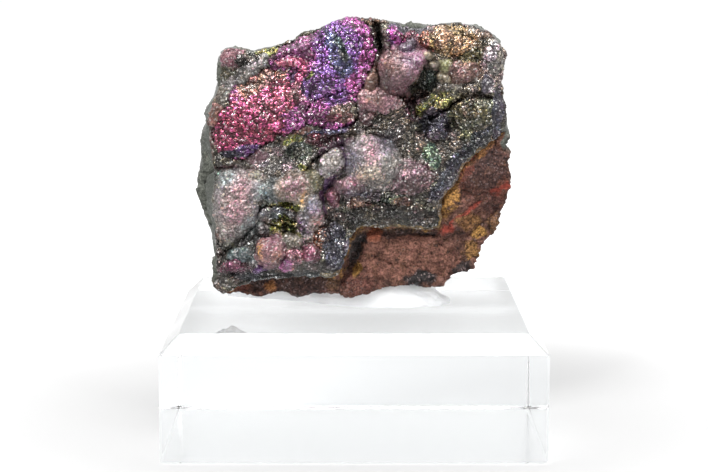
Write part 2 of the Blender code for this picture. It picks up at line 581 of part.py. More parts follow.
def build_block(parts):
    """The acrylic block: the hull of rounded squares at its foot, at the bevel and at its top."""
    work = bmesh.new()
    rings = (
        (0.0, BLOCK_SIDE - 2 * EDGE_BREAK, CORNER_RADIUS - EDGE_BREAK),
        (EDGE_BREAK, BLOCK_SIDE, CORNER_RADIUS),
        (BLOCK_HEIGHT - BLOCK_BEVEL, BLOCK_SIDE, CORNER_RADIUS),
        (BLOCK_HEIGHT, BLOCK_SIDE - 2 * BLOCK_BEVEL, CORNER_RADIUS / 2),
    )
    for height, side, radius in rings:
        for x, y in rounded_square(side, radius):
            work.verts.new((x, y, height))
    bmesh.ops.convex_hull(work, input=work.verts)
    bmesh.ops.dissolve_limit(work, angle_limit=math.radians(0.5), verts=work.verts, edges=work.edges)
    acrylic = new_material("clear cast acrylic", (0.95, 0.97, 0.98), 0.04, transmission=1.0, ior=1.49)
    new_object("acrylic_block", work, parts, acrylic)


def build_stone(parts, helpers):
    """The stone: the ironstone with the crust joined to it."""
    rock = new_material("goethite and ironstone", (0.20, 0.13, 0.12), 0.55, metallic=0.2)
    stone = new_object("goethite_stone", shaped_cube(ROCK_GRID, rock_shape), parts, rock)
    thin_out(stone, ROCK_SHARE)
    crust = new_object("crust_to_join", shaped_cube(CRUST_GRID, crust_shape), helpers)
    thin_out(crust, CRUST_SHARE)
    hide_helper(crust)
    join_or_cut(stone, crust, "UNION")
    return stone


def build_putty(parts, helpers, stone):
    """The putty: a low pad on the block, cut away where the stone sits in it."""
    work = bmesh.new()
    bmesh.ops.create_uvsphere(work, u_segments=PUTTY_SEGMENTS, v_segments=PUTTY_RINGS, radius=1.0)
    ball = np.array([v.co for v in work.verts])
    lobes = 1 + 0.08 * lattice(ball * 2.2 + 5.0, 61)
    rightward = smooth_step(ball[:, 0], -0.2, 0.9)
    rise = PUTTY_LEFT_HEIGHT + (PUTTY_RIGHT_HEIGHT - PUTTY_LEFT_HEIGHT) * rightward
    # The ball is flattened at its foot, and its sides are steepened.
    bulge = np.clip(ball[:, 2] + 0.35, 0, None) ** 0.7
    places = np.column_stack([
        PUTTY_MIDDLE[0] + PUTTY_HALF_LENGTH * ball[:, 0] * lobes,
        PUTTY_MIDDLE[1] + PUTTY_HALF_DEPTH * ball[:, 1] * lobes,
        BLOCK_HEIGHT + GAP + bulge * rise,
    ])
    for vertex, place in zip(work.verts, places):
        vertex.co = place
    silicone = new_material("clear putty", (0.86, 0.88, 0.90), 0.3, transmission=0.5, ior=1.41)
    putty = new_object("mounting_putty", work, parts, silicone)

    # The cutter is the finished stone, grown by the gap.
    graph = bpy.context.evaluated_depsgraph_get()
    copied = bpy.data.meshes.new_from_object(stone.evaluated_get(graph))
    grown = bpy.data.objects.new("stone_with_gap", copied)
    helpers.objects.link(grown)
    hide_helper(grown)
    swell = grown.modifiers.new("gap", "DISPLACE")
    swell.strength = GAP * 1.2 * MM
    swell.mid_level = 0.0
    join_or_cut(putty, grown, "DIFFERENCE")


def main():
    for old in list(bpy.data.objects):
        bpy.data.objects.remove(old, do_unlink=True)
    parts = bpy.data.collections.new("goethite specimen")
    helpers = bpy.data.collections.new("helpers")
    for collection in (parts, helpers):
        bpy.context.scene.collection.children.link(collection)
    build_block(parts)
    stone = build_stone(parts, helpers)
    build_putty(parts, helpers, stone)


main()
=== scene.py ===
"""The looks of an iridescent goethite specimen, set with clear putty on a bevelled acrylic block.

The stone's crust, its ironstone, the putty and the block are surfaces worked out with numpy from
the same outlines and lumps as the solids. Lengths inside the shape functions are millimetres, and
they become metres when a mesh is filled.
"""

import math

import bpy
import numpy as np
from bpy.props import FloatProperty, FloatVectorProperty, PointerProperty
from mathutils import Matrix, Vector


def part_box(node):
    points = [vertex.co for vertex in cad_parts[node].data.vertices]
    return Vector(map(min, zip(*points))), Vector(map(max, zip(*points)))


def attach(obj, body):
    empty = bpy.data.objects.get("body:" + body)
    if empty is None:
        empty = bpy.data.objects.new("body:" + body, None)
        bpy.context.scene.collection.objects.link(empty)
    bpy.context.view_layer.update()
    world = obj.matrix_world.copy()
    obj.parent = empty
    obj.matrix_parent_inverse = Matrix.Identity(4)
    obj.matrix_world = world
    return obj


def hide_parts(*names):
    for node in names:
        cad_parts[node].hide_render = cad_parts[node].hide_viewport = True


bl_info = {
    "name": "Goethite specimen",
    "version": (1, 0, 0),
    "blender": (4, 5, 0),
    "location": "3D View > Sidebar > Specimen",
    "description": "An iridescent goethite stone, set with putty on a bevelled acrylic block",
    "category": "Object",
}

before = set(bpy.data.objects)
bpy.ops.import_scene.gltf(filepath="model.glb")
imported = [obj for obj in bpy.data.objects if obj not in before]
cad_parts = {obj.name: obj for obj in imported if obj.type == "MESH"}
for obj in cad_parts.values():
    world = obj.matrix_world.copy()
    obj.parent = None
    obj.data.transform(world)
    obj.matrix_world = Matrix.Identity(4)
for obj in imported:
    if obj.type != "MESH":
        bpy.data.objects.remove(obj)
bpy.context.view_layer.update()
BODY = "root"
MM = 0.001
PER_METRE = 1000
BLOCK_LOW, BLOCK_HIGH = (np.array(corner) * PER_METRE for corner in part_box("acrylic_block"))

# The block: its side and height from the frame, and the rounding of its upright corners.
BLOCK_SIDE = BLOCK_HIGH[0] - BLOCK_LOW[0]
BLOCK_TOP = BLOCK_HIGH[2]
CORNER_RADIUS = 0.5

# Depths of the stone, measured along y, its middle, and the least gap between the ironstone and
# the block's top.
CRUST_FRONT = -9.0
CRUST_BACK = -1.5
BURIED_FRONT = -3.4
BARE_FRONT = -5.4
STONE_BACK = 13.0
STONE_MIDDLE = np.array([0.0, 1.5, 45.0])
LEAST_CLEARANCE = 1.2

# The crust's middle, how far its back edge draws in under the ledge, and how its front rounds over
# at the rim: half the crust's size, and how far the rounding drops and reaches.
CRUST_MIDDLE = np.array([2.0, 46.0])
UNDERCUT = 0.95
HALF_WIDTH = 24.0
HALF_HEIGHT = 19.0
RIM_DROP = 1.3
RIM_REACH = 1.8

# Where the undercut fades in and out, as shares across and up the crust: on the right, up the right
# side, and over the foot. Behind the rim, the shares of the depth where the walls have run out to
# the girth, and where they are rough in full.
UNDERCUT_RIGHT = (0.86, 1.0)
UNDERCUT_TOP = (0.45, 0.62)
UNDERCUT_FOOT = (0.0, 0.12)
WALLS_OUT = (0.0, 0.75)
WALLS_ROUGH = (0.0, 0.3)

# How far the crust and the ironstone stay inside the girth as the view point sees it. The second
# number is added to the ironstone's where the crust covers it.
CRUST_INSET = 0.05
ROCK_INSET = 0.1
COVERED_INSET = 0.5

# Outlines are drawn on the plane y = CRUST_FRONT. Seen from the view point, they keep their
# place when they are carried back to another depth.
VIEW_POINT = np.array([0.0, -349.0, 81.4])

# The stone's girth, as four runs of (x, z): the top and the foot from left to right, and the
# two sides from the foot up.
GIRTH_TOP = (
    (-21.3, 62.3), (-20.3, 63), (-19.2, 63.2), (-18, 62.9), (-16.5, 62.4), (-13.5, 63.1),
    (-10.5, 63.9), (-9, 64.5), (-8, 65.2), (-7, 65.7), (-5.8, 65.9), (-4.6, 66.3),
    (-3.8, 66.7), (-2.6, 67.4), (-1.2, 67.8), (0.5, 67.6), (1.8, 67.3), (3.2, 67.7),
    (4.4, 67.3), (6.2, 67.2), (7.8, 66.8), (9.2, 67), (12.7, 66.6), (14.2, 66.8),
    (17, 66.8), (19.8, 66.5), (21.3, 65.8), (22.6, 65), (23.4, 64),
)
GIRTH_RIGHT = (
    (19.8, 27.7), (20, 29.2), (20.3, 30.6), (20.8, 31.8), (21.6, 32.2), (22.4, 33),
    (22.9, 34.6), (23.3, 36.6), (24.3, 38), (24.8, 39.6), (25.1, 42.2), (24.7, 43.8),
    (24.4, 44.8), (25, 46.3), (24.5, 47.5), (25.2, 48.6), (24.8, 50.2), (24.6, 51.5),
    (24.2, 54), (23.7, 55.8), (23.4, 57.2), (23.6, 59), (24.2, 60.8), (24.2, 62.2),
    (23.3, 63.2), (23.4, 64),
)
GIRTH_FOOT = (
    (-23.1, 24.1), (-22.5, 23.1), (-21.4, 22.6), (-20.4, 22.6), (-19.6, 23.2), (-18.2, 23.4),
    (-16.5, 22.9), (-15.2, 22.8), (-14, 23.4), (-12.8, 23.8), (-11.5, 23.5), (-9.8, 23),
    (-8.5, 22.9), (-6.8, 23.4), (-4.5, 23.3), (-2.4, 23.5), (-1.3, 22.7), (-0.4, 22.6),
    (1, 23.2), (3, 23.5), (5, 23.9), (7, 24.4), (9.7, 24.8), (11.5, 24.4),
    (14.4, 24.5), (14.9, 25.4), (16.4, 26.3), (17.4, 26.9), (18.8, 27.2), (19.8, 27.7),
)
GIRTH_LEFT = (
    (-23.1, 24.1), (-22.9, 25.4), (-22.4, 26.4), (-22.9, 27.3), (-23.1, 28.2), (-22.6, 29.4),
    (-22.9, 31.5), (-23, 33.2), (-23.5, 34.6), (-24.2, 36), (-24.6, 37.6), (-25.2, 38.9),
    (-25.5, 40), (-25.3, 41.6), (-24.9, 43.5), (-24.6, 46), (-24.8, 48.2), (-24.2, 50.2),
    (-23.8, 51.2), (-24.1, 52.4), (-23.8, 53.4), (-23, 54.4), (-22.4, 55.5), (-21.9, 57),
    (-21.9, 59.5), (-21.7, 61.2), (-21.3, 62.3),
)

# The crust's front rim, drawn in the same way. Its foot and lower right side are the ledge.
RIM_TOP = (
    (-21, 62), (-19.4, 62.8), (-16.5, 62), (-13.4, 62.9), (-10.4, 63.9), (-8, 65.1),
    (-5.8, 65.7), (-3.6, 66.8), (-1.2, 67.5), (1.2, 67.3), (3.2, 67.3), (5.5, 66.8),
    (8, 66), (10.3, 65.6), (13, 66.3), (16.5, 66.6), (19.5, 66.1), (21.5, 65),
    (23.2, 63.5),
)
LEDGE_RIGHT = (
    (13.7, 34), (14.1, 35.4), (13.9, 37), (14.1, 38.7), (14.9, 39.9), (15.9, 40.7),
    (16.6, 42), (17.2, 43.3), (17.9, 44.5), (18.9, 45.5), (20.2, 46.5), (21.3, 47.6),
    (22.9, 48.9), (24, 50.2), (24.4, 51.6), (24, 54), (23.5, 56), (23.3, 57.4),
    (23.5, 59.2), (24, 60.8), (24, 62), (23.2, 63.5),
)
LEDGE_FOOT = (
    (-22.5, 24.4), (-21.2, 23.5), (-20, 23.9), (-18.5, 24.7), (-17, 25.3), (-15.5, 25.8),
    (-13.6, 26.1), (-11, 26.1), (-8, 26.3), (-5.5, 26.1), (-3.8, 26), (-2.7, 26.5),
    (-2.1, 27.6), (-1.8, 29), (-1.5, 30.5), (-1, 31.8), (-0.4, 32.9), (0.4, 33.7),
    (1.4, 34.2), (4, 34.1), (6, 34.3), (8, 34.1), (10, 33.9), (12, 33.8),
    (13.7, 34),
)
RIM_LEFT = (
    (-22.5, 24.4), (-21.9, 26.4), (-22.1, 28.2), (-21.8, 30), (-22.1, 33), (-22.2, 35.5),
    (-22.6, 38), (-22.4, 40.5), (-22, 43), (-22.6, 45.5), (-23.1, 48.4), (-22.9, 50.4),
    (-23.1, 52.4), (-22.3, 54.2), (-21.2, 56.5), (-21.1, 59), (-21, 60.8), (-20.7, 61.9),
)
CRUST_RIM = LEDGE_FOOT + LEDGE_RIGHT[1:] + RIM_TOP[-2::-1] + RIM_LEFT[-2:0:-1]
GIRTH = GIRTH_FOOT + GIRTH_RIGHT[1:] + GIRTH_TOP[-2::-1] + GIRTH_LEFT[-2:0:-1]

# The iridescent plate in the upper left stands a little proud of the crust, behind a crack.
PLATE_OUTLINE = (
    (-22.8, 49.5), (-21.9, 51), (-21.7, 52.2), (-21, 53.1), (-19.9, 53.6), (-20.1, 54.5),
    (-19.7, 55.4), (-19.1, 56.4), (-18.2, 57), (-17.2, 57.2), (-16.5, 58), (-15.5, 58.4),
    (-14.8, 59.2), (-13.9, 59.7), (-13, 60), (-13.8, 61), (-12.6, 61.9), (-11.7, 62.9),
    (-8.7, 64.3), (-5.5, 65.6), (-3.8, 66.8), (-1.2, 67.8), (0.8, 67.5), (2.2, 66.4),
    (3, 64.8), (3.3, 62.6), (3.2, 60.3), (2.3, 59.3), (1.9, 57.2), (0.7, 55.5),
    (0.3, 54.3), (0.8, 52.2), (0.1, 51), (-1.5, 50.2), (-3, 49.8), (-5.8, 50.4),
    (-7.8, 51), (-9, 49.8), (-11.3, 48.9), (-12.6, 49.2), (-13.2, 48.2), (-14.4, 47.3),
    (-16.3, 46), (-17.6, 45.3), (-19.4, 45), (-20.9, 45.6), (-21.9, 46.9), (-22.5, 48.2),
)
PLATE_RISE = 0.5
PLATE_EDGE = (-0.1, 0.25)
CRACK_HALF_WIDTH = 0.16
CRACK_DEPTH = 0.7

# Broad swells and hollows of the crust: x, z, half width, half height, turn in degrees, rise.
CRUST_SWELLS = (
    (-1, 62.5, 5.5, 6, 0, 1.3), (-15, 52.5, 8, 5, 25, 1.1), (-18, 59.5, 4, 2, 35, -0.7),
    (12.8, 51, 5, 4.5, 30, -1.7), (20, 61, 5, 5, 0, 0.4), (2.5, 44, 7, 6, 0, 0.9),
    (-18.6, 37.8, 4.2, 5.4, -6, 2.2), (-12, 45, 8, 2.2, 8, -0.7), (-11.5, 34.5, 6, 3.5, 0, -0.9),
    (6, 34.6, 10, 2.2, 0, -1.3), (-11, 26, 11, 1.6, 0, -1.4), (15.5, 41, 2.5, 6, -35, -0.9),
    # Low lobes of the iridescent plate.
    (-9.8, 58.6, 2.6, 2, 0, 0.8), (-16.3, 51.6, 4.2, 3.2, 15, 0.8), (-10.3, 50.6, 2, 1.2, 0, 0.6),
    (-3.4, 52.6, 3, 1.7, 0, 0.9), (-4.8, 57.6, 2.6, 2, 20, 0.6), (-0.4, 63.2, 2.6, 3.2, 0, 0.9),
    (-7.4, 63, 3.2, 1.2, 18, 0.5),
)

# Rounded lumps of the crust: x, z, half width, half height, turn in degrees, rise.
CRUST_LUMPS = (
    # The upper knob, the small lobes round it and its shoulder below.
    (7.2, 59.3, 3.7, 4, -20, 3.2), (9.1, 61.2, 2.6, 2.2, 0, 2.2), (8.6, 63.3, 1.6, 1, 0, 1.6),
    (11.4, 61.9, 1.1, 1.3, 0, 1.6), (3, 57.6, 0.9, 1.9, 0, 0.8), (3.9, 54.3, 3.6, 2.1, 0, 1.4),
    (2.4, 51.6, 1.8, 1.1, 0, 0.9),
    # The lobes right of the deep hollow.
    (15, 59.7, 1.7, 1.4, -20, 1.6), (12.6, 59.7, 1.1, 0.8, 0, 1.3), (14.6, 57.9, 1.4, 0.9, 0, 1.2),
    (17.4, 58.9, 2.2, 1.8, 0, 1), (15.7, 56.4, 2.1, 1, 20, 0.9),
    # The middle knob and its lobes.
    (2.9, 44.3, 4.7, 4.6, 0, 2.8), (1.9, 46.4, 3.1, 2.8, 0, 2.6), (-3.4, 44, 2.2, 2.3, 0, 0.9),
    (-0.5, 40.4, 2.4, 1.7, -10, 1.6), (-3.1, 38.7, 1, 1, 0, 1), (2.9, 38.9, 2.6, 0.9, 5, 0.7),
    # The lower left dome and the lower domes right of it.
    (-18.6, 37.6, 4.8, 6, -8, 0.8), (-12.7, 39.8, 2.3, 2, 0, 0.8), (-9.2, 40, 2.6, 2.5, 0, 1),
    (-6.4, 41.2, 1.8, 1.6, 0, 0.9), (-7, 36, 2, 3.3, 5, 1.1), (-8.6, 37.2, 1, 0.9, 0, 1.2),
    # The row of lumps above the lower edge.
    (-13.6, 30, 2.4, 2.6, 0, 1.7), (-9.9, 28.9, 1.3, 1.6, 0, 1.3), (-10.2, 31.7, 1.8, 1.3, 0, 0.6),
    (-7, 29.8, 1.2, 1.8, 0, 1.3), (-5.3, 32.6, 1, 1.7, -15, 1), (-19.6, 27.3, 2.2, 1.1, 20, 1.3),
    (-15.9, 27.4, 0.9, 0.7, 0, 0.8), (-18.5, 29.7, 1.9, 1.2, 20, 0.9), (-14.7, 33.6, 1.4, 0.9, 0, 0.9),
    (-11.6, 33.3, 0.9, 0.45, 0, 0.8),
    # Small lumps along the ledge.
    (1.4, 36.3, 1, 0.7, 0, 0.9), (4.3, 36.6, 1.3, 0.7, 0, 0.8), (7.4, 36.2, 1.1, 0.8, 0, 0.7),
    (10.5, 36.5, 1.4, 0.8, 0, 0.8), (12.9, 37.4, 0.9, 1.1, 0, 0.7), (-3.4, 34, 1.1, 1.6, 10, 0.8),
    (-3.6, 30.2, 1, 1.5, 0, 0.7),
    # Knobs on the upper left rim.
    (-19.5, 61.3, 2.1, 2, 0, 1.1), (-22.4, 52.7, 1.2, 1.5, 0, 0.9),
    # Swellings of the drusy ground on the right.
    (14.6, 64.1, 4.2, 1.9, -20, 1.3), (22, 61, 2.2, 3, 0, 1.1), (6, 65, 1.8, 1.6, 0, 1.2),
    (6.2, 62.9, 0.9, 1.1, 0, 1), (19.3, 52.6, 4.2, 2.6, 10, 1.1), (13.4, 49.7, 2, 2, 0, 0.9),
    (12.3, 44.7, 1.4, 1.8, 0, 1.1), (9.4, 41.3, 4.2, 2.7, 0, 1),
)

# Grooves and, with a negative depth, ridges: half width, depth and a run of (x, z).
CRUST_GROOVES = (
    (0.55, 3, ((3.5, 66.9), (3.8, 65), (4.2, 63.4), (4.6, 61.8))),
    (0.32, 1.2, ((4.2, 61.2), (3.9, 59.4), (4, 57.4), (4.6, 56.1), (6.2, 55.5), (8.2, 55.2))),
    (0.25, 0.6, ((-7.8, 52.4), (-7, 53.7), (-6, 54.6), (-4, 55.1), (-2, 55.8))),
    (0.4, -0.7, ((-13, 60), (-11.4, 60.6), (-9.6, 60.5), (-8.1, 59.6), (-7.4, 58.2))),
    (0.35, -0.5, ((-12.6, 61.6), (-10.4, 62.4), (-8, 62.8), (-5.6, 64))),
    (0.45, 0.9, ((-21.9, 43.5), (-19.2, 43.7), (-16.4, 43.4))),
    (0.38, 1.3, ((-7.6, 43.3), (-6.5, 44.5), (-5.3, 45.7), (-3.7, 46.6), (-1.4, 47.3))),
    (0.6, 1.1, ((-1.6, 46), (-1.5, 44.4), (-2.1, 42.8), (-3.7, 41.3), (-4.8, 40), (-5.1, 38.3),
                 (-4.8, 35.4))),
    (0.25, 0.6, ((7, 43), (5.9, 41.6), (4.4, 40.5), (3, 40))),
    (0.16, 0.24, ((5.2, 60.8), (6.4, 61.7), (8, 62))),
    (0.16, 0.26, ((4.8, 58.8), (5.6, 60.2), (7.2, 61), (9, 61))),
    (0.16, 0.24, ((5.4, 57.4), (6.2, 58.8), (7.8, 59.6), (9.6, 59.4))),
    (0.2, 0.34, ((6, 46.4), (7.4, 47))),
    (0.2, 0.36, ((6.3, 45), (7.9, 45.2))),
    (0.2, 0.36, ((6.2, 43.6), (7.7, 43.2))),
    (0.2, 0.34, ((5.6, 42.3), (6.8, 41.5))),
    (0.2, 0.3, ((4.4, 41.5), (5.2, 40.5))),
    (0.9, 1.2, ((9.4, 54), (10.4, 51.6), (10.7, 49.6))),
    (0.6, -0.9, ((11, 51.7), (12.4, 53.2), (14.2, 54.3), (15.6, 54.9), (17, 55.9), (19.6, 56.3))),
    (0.38, 0.7, ((12.4, 51.6), (14.1, 52.7), (16, 54), (17.5, 54.9), (20, 55.4), (22, 54.6))),
    (0.3, 1, ((-15.6, 36.9), (-14, 37.5), (-12, 37.4), (-10.2, 37.4), (-9.2, 36.6))),
    (0.35, 1.3, ((-15.6, 36.7), (-15.7, 35.3), (-14.4, 34.5), (-12.8, 34.4))),
    (0.3, 0.9, ((-12.6, 35.2), (-10.5, 35.2), (-9, 34.9))),
    (0.55, -0.7, ((-15, 35.9), (-12.6, 35.8), (-9.7, 36.4))),
    (0.5, 1.3, ((-15.8, 34.6), (-17.5, 33.2), (-19, 31.7), (-20.4, 30.4), (-21.3, 29.6))),
    (0.55, -0.9, ((-6.4, 48.4), (-4.4, 49.2), (-2, 49.5), (1.5, 49.4), (5, 49.3))),
    (0.2, 0.25, ((-2.6, 36.3), (-1.2, 37.5), (1, 38.5), (2.4, 38), (4, 38.2), (6.4, 37.7),
                 (8.6, 37.4))),
)

# Pits of the crust: x, z, half width, half height, turn in degrees, depth.
CRUST_PITS = (
    (-9.4, 58.5, 1, 0.9, 0, 0.9), (11.4, 57.2, 2.2, 2.4, -25, 2), (9.9, 55.2, 2.6, 1.1, 8, 1.8),
    (-11.3, 33.6, 1.7, 1, 0, 1.7), (-9.7, 33.6, 0.8, 0.9, 0, 1.4), (-2.9, 40.4, 0.8, 0.8, 0, 1.3),
    (15.7, 50.4, 1.2, 1.3, 0, 1.3),
)

# The bare ironstone at the lower right: swells, lumps and grooves as above.
IRONSTONE_SWELLS = (
    (8, 27, 9, 3.5, 8, 1), (20.5, 42.5, 4, 6, 0, 2.2), (15.5, 37.5, 2.5, 3.5, -20, 1.8),
    (18.5, 30, 2.5, 3.5, 0, -0.8), (-11, 24.6, 9, 1.4, 0, -0.6),
)
IRONSTONE_LUMPS = (
    (3.4, 33, 1.4, 1.2, 0, 1.3), (21.6, 43.2, 3.2, 4.4, 0, 1), (23.6, 47.9, 1.6, 1.5, 40, 1.3),
    (20.9, 47, 2, 0.8, 48, 0.9), (22.4, 34.6, 1.3, 2.1, 0, 0.9), (15.4, 38.8, 1.2, 2.2, -25, 0.9),
    (9.6, 25.5, 1, 0.8, 8, 1.2), (11.2, 25.9, 1.2, 0.9, 0, 1.3), (13.2, 25.6, 0.9, 0.7, 0, 1),
    (16.8, 27.3, 0.9, 0.7, 14, 1.1), (18.3, 27.8, 0.9, 0.7, 14, 1.1), (18.6, 41.6, 1.2, 1.6, 20, 0.7),
    (22.4, 40.6, 1.5, 1.3, 0, 0.6), (2.6, 26.6, 1.1, 1.1, 0, 0.7), (0.6, 24.4, 2.4, 1.3, 10, 0.8),
)
RED_STREAK = ((14.3, 33.4), (17.0, 35.7), (19.4, 37.5), (21.2, 38.3))
SHORT_STREAK = ((22.3, 39.4), (23.6, 40.2), (24.6, 41.6))
IRONSTONE_GROOVES = (
    (0.9, 1.4, ((-2, 26), (-0.6, 29.5), (0.6, 32.4), (2.2, 33.4), (6, 33.4), (9, 33.2),
                 (12.6, 33.1))),
    (1, 1.6, ((-0.6, 27.8), (0.2, 29.8), (1.2, 31.8))),
    (0.3, 0.6, ((3.2, 29.6), (6, 28.4), (9, 28.2), (12, 27))),
    (0.28, 0.5, ((13.4, 31.6), (15, 30.6), (16, 29), (17.4, 28.6))),
    (0.35, 0.7, ((16.8, 33), (18.4, 33.4), (19.8, 34.8), (21.2, 36.6))),
    (0.3, 0.5, ((17.2, 40), (18.8, 39.4), (20.4, 39.8), (22.6, 39))),
    (0.5, -0.8, RED_STREAK),
    (0.4, 1.5, ((20.5, 31.4), (21.1, 33.4), (21.5, 35.2), (22.3, 37.2))),
    (0.4, 0.7, ((0.4, 27.8), (1.9, 27.4), (3.4, 26.9), (4.2, 25.4), (5.6, 24.6))),
)

# Planes that the rock broke along, at its back and sides: the outward direction, and the distance
# of the plane from the stone's middle.
FRACTURES = (
    ((0.1, 0.98, 0.12), 10.3),
    ((0.3, 0.72, 0.62), 17.6),
    ((-0.55, 0.66, 0.5), 19),
    ((-0.8, 0.58, -0.12), 19.4),
    ((0.82, 0.56, -0.05), 19),
    ((0.66, 0.42, -0.62), 20.6),
    ((-0.25, 0.66, -0.7), 18),
    ((0.72, 0.4, 0.58), 25.2),
    ((-0.45, 0.4, -0.8), 24.4),
    ((0.15, 0.3, 0.94), 21.9),
)
PRESSED_FLAT = 0.92

# The ironstone's width as a share of the girth: in front, and what it gains and then loses towards
# the back, each with the shares of the depth where it does so.
FRONT_WIDTH = 0.965
WIDTH_GAINED = 0.035
WIDTH_LOST = 0.13
GAINING = (0.0, 0.2)
LOSING = (0.35, 1.0)

# How far inside the crust's rim the ironstone sinks to its buried front, and how far its bare front
# goes out to the girth. Its beds: their height, and how fast and how unevenly they follow.
BURIAL = (0.2, 1.6)
BARE_WIDTH = 0.85
BED_HEIGHT = 0.45
BED_TURN = 1.15
BED_SWAY = 1.5
BED_SWAY_SIZE = 9

# Where the beds and the rough walls start behind the front, as shares of the depth, and how far up
# the crust covers the ironstone's left and right sides.
BEDS_START = (0.15, 0.3)
ROUGH_START = (0.1, 0.4)
COVERED_LEFT = (0.05, 0.1)
COVERED_RIGHT = (0.5, 0.56)

# Hollows and lumps of the back: x, z, half width, half height, turn in degrees, depth or rise.
BACK_PITS = (
    (-8.5, 50.5, 5.5, 3.6, 25, 2.2), (9, 41, 4, 5.5, -15, 1.8), (-4, 33.5, 3.6, 2.4, 10, 1.5),
    (12.5, 56, 3.2, 2.6, 0, 1.3),
)
BACK_LUMPS = (
    (-9.6, 51, 1.8, 1.5, 0, 1.5), (-7, 49.6, 1.5, 1.2, 0, 1.2), (-6.6, 52.2, 1.2, 1, 0, 1),
    (2, 54, 4.5, 3, -20, 1.2), (-14, 40, 4, 5, 10, 1.1), (10, 39, 1.4, 1.6, 0, 1),
)

# The power that shapes a lump: half makes it a half ball, and one a soft cap. Lumps that meet run
# together in the fillet.
CAP_ROUNDNESS = 0.85
FILLET = 0.55

# Random unevenness: height, width of its features, octaves and seed. Heights and widths are in
# millimetres, or the height is a share where it shifts a colour or a share.
UNEVEN = {
    "crust ground": (0.4, 3.5, 3, 3),
    "rock ground": (0.45, 4.0, 2, 8),
    "crust walls": (0.35, 3.0, 2, 21),
    "rock walls": (0.9, 6.0, 3, 31),
    "folds": (1.0, 1.0, 3, 37),
    "soft swells": (0.26, 1.7, 2, 39),
    "crust lightness": (0.25, 1.6, 2, 45),
    "wall brown": (0.22, 4.0, 3, 47),
    "buried edge": (1.3, 7.0, 2, 51),
    "rock lumps": (0.38, 1.8, 3, 61),
    "rock steps": (0.8, 4.0, 2, 65),
    "ochre pockets": (1.0, 6.0, 4, 71),
    "red pockets": (1.0, 7.0, 4, 75),
    "dark pockets": (1.0, 8.0, 4, 79),
    "edge behind": (0.12, 5.0, 3, 83),
    "rusty lip": (0.5, 1.5, 2, 93),
    "stains": (1.0, 0.9, 3, 97),
}

# How drawn lines waver: width of the bends, how far they go, and seed. The edges are those of the
# plate and the grooves.
WAVER = {
    "edges": (1.6, 0.22, 71),
    "lumps": (4.0, 0.55, 73),
    "rock": (1.4, 0.25, 81),
    "patches": (0.9, 0.25, 91),
    "stains": (1.3, 0.35, 95),
}

# Large odd numbers that mix a cell's whole numbers, the seed and the result, those that draw five
# values from one result, the middle of a value's range, and a shift between octaves.
CELL_FACTORS = (73856093, 19349663, 83492791)
SEED_FACTOR = 2654435761
LAST_FACTOR = 1274126177
DRAW_FACTORS = (40503, 30011, 52711, 61979, 17389)
HALF_RANGE = 0xFFFF / 2
OCTAVE_SHIFT = 17.3

# Packed grains: the least place and radius of a ball in its cell, how far they vary, and seeds.
BALL_PLACE = (0.15, 0.70)
BALL_RADIUS = (0.50, 0.24)
PLATE_SEED, GRAIN_SEED, FINE_SEED, CLUSTER_SEED, CRUMB_SEED = 5, 7, 11, 13, 23

# Seeds of the crust's fibres and knobs, of the sway of the ironstone's beds and of the putty's dents.
FIBRE_SEED, KNOB_SEED, SWAY_SEED, DENT_SEED = 33, 34, 40, 63

# Lines of the crust's front grid each way, and rows of its walls, closer together in front.
CRUST_LINES = 505
CRUST_WALL_ROWS = 28
WALL_ROW_POWER = 1.3

# The ironstone's grids: columns and lines, most of them where the rock is bare, the steps that
# their density is worked out in, the share of the depth where its two bodies meet, and the rows of
# wall before and behind that place.
ROCK_COLUMNS = 230
ROCK_LINES = 210
BARE_LINES = 0.80
BARE_ACROSS = (0.42, 1.0)
BARE_UP = (0.0, 0.60)
DENSITY_STEPS = 2001
SPLIT = 0.25
FACE_ROWS = 15
BACK_ROWS = 31

# How high the crust's grains stand, as shares of their width: the drusy grains, the fine grains on
# the druse and on the satin lumps, and the clusters on the open druse, the plate and the lumps.
GRAIN_RISE = 0.60
FINE_RISE = (0.30, 0.42)
CLUSTER_RISE = (0.30, 0.15, 0.10)

# How high the folds of the satin lumps stand, and the fibres and knobs of the broken walls, with
# their widths. The lip of the ledge is smoother than the rest by this share.
FOLD_RISE = 0.34
FIBRE_RISE = 0.13
FIBRE_SIZE = np.array([0.5, 4.0, 0.5])
KNOB_RISE = 0.10
KNOB_SIZE = 1.3
LIP_SMOOTHNESS = 0.8

# Where rust creeps over the lip of the ledge, as shares of the crust: how wide the lip is, where it
# starts along the foot, and how far it goes up the right side.
LIP_WIDTH = 0.012
LIP_START = 0.42
LIP_END = 0.46

# How far behind the rim the broken wall starts, on the plate further back, how soon it is all
# wall, and where it has turned from grey to brown, all as shares of the depth.
WALL_START = 0.04
PLATE_DEPTH = 0.30
WALL_BLEND = 0.12
WALL_BROWNING = (0.40, 0.85)
LEDGE_TOP = 0.45

# The broken walls: colour, strength, satin share and lightness in front, behind and underneath.
WALL_GREY = ("#6A6E66", 0.9, 0.85, 0.70)
WALL_BROWN = ("#5A564E", 0.9, 0.90, 0.66)
WALL_RUSTY = ("#7A5836", 0.9, 0.90, 0.75)

# How high the ironstone's crumbs stand, as a share of their width, and the steps where it broke:
# their height, and how the rock climbs between them along x, y and z.
CRUMB_RISE = 0.62
STEP_RISE = 0.22
STEP_SLANT = np.array([0.35, 0.25, 0.55])

# The height, as a share, under which painted shade darkens the gaps between the crumbs, and how much
# smoother the stone's foot is, up to what height.
CRUMB_GAP = (0.05, 0.45)
FOOT_SMOOTHNESS = 0.8
FOOT_HEIGHT = 0.6

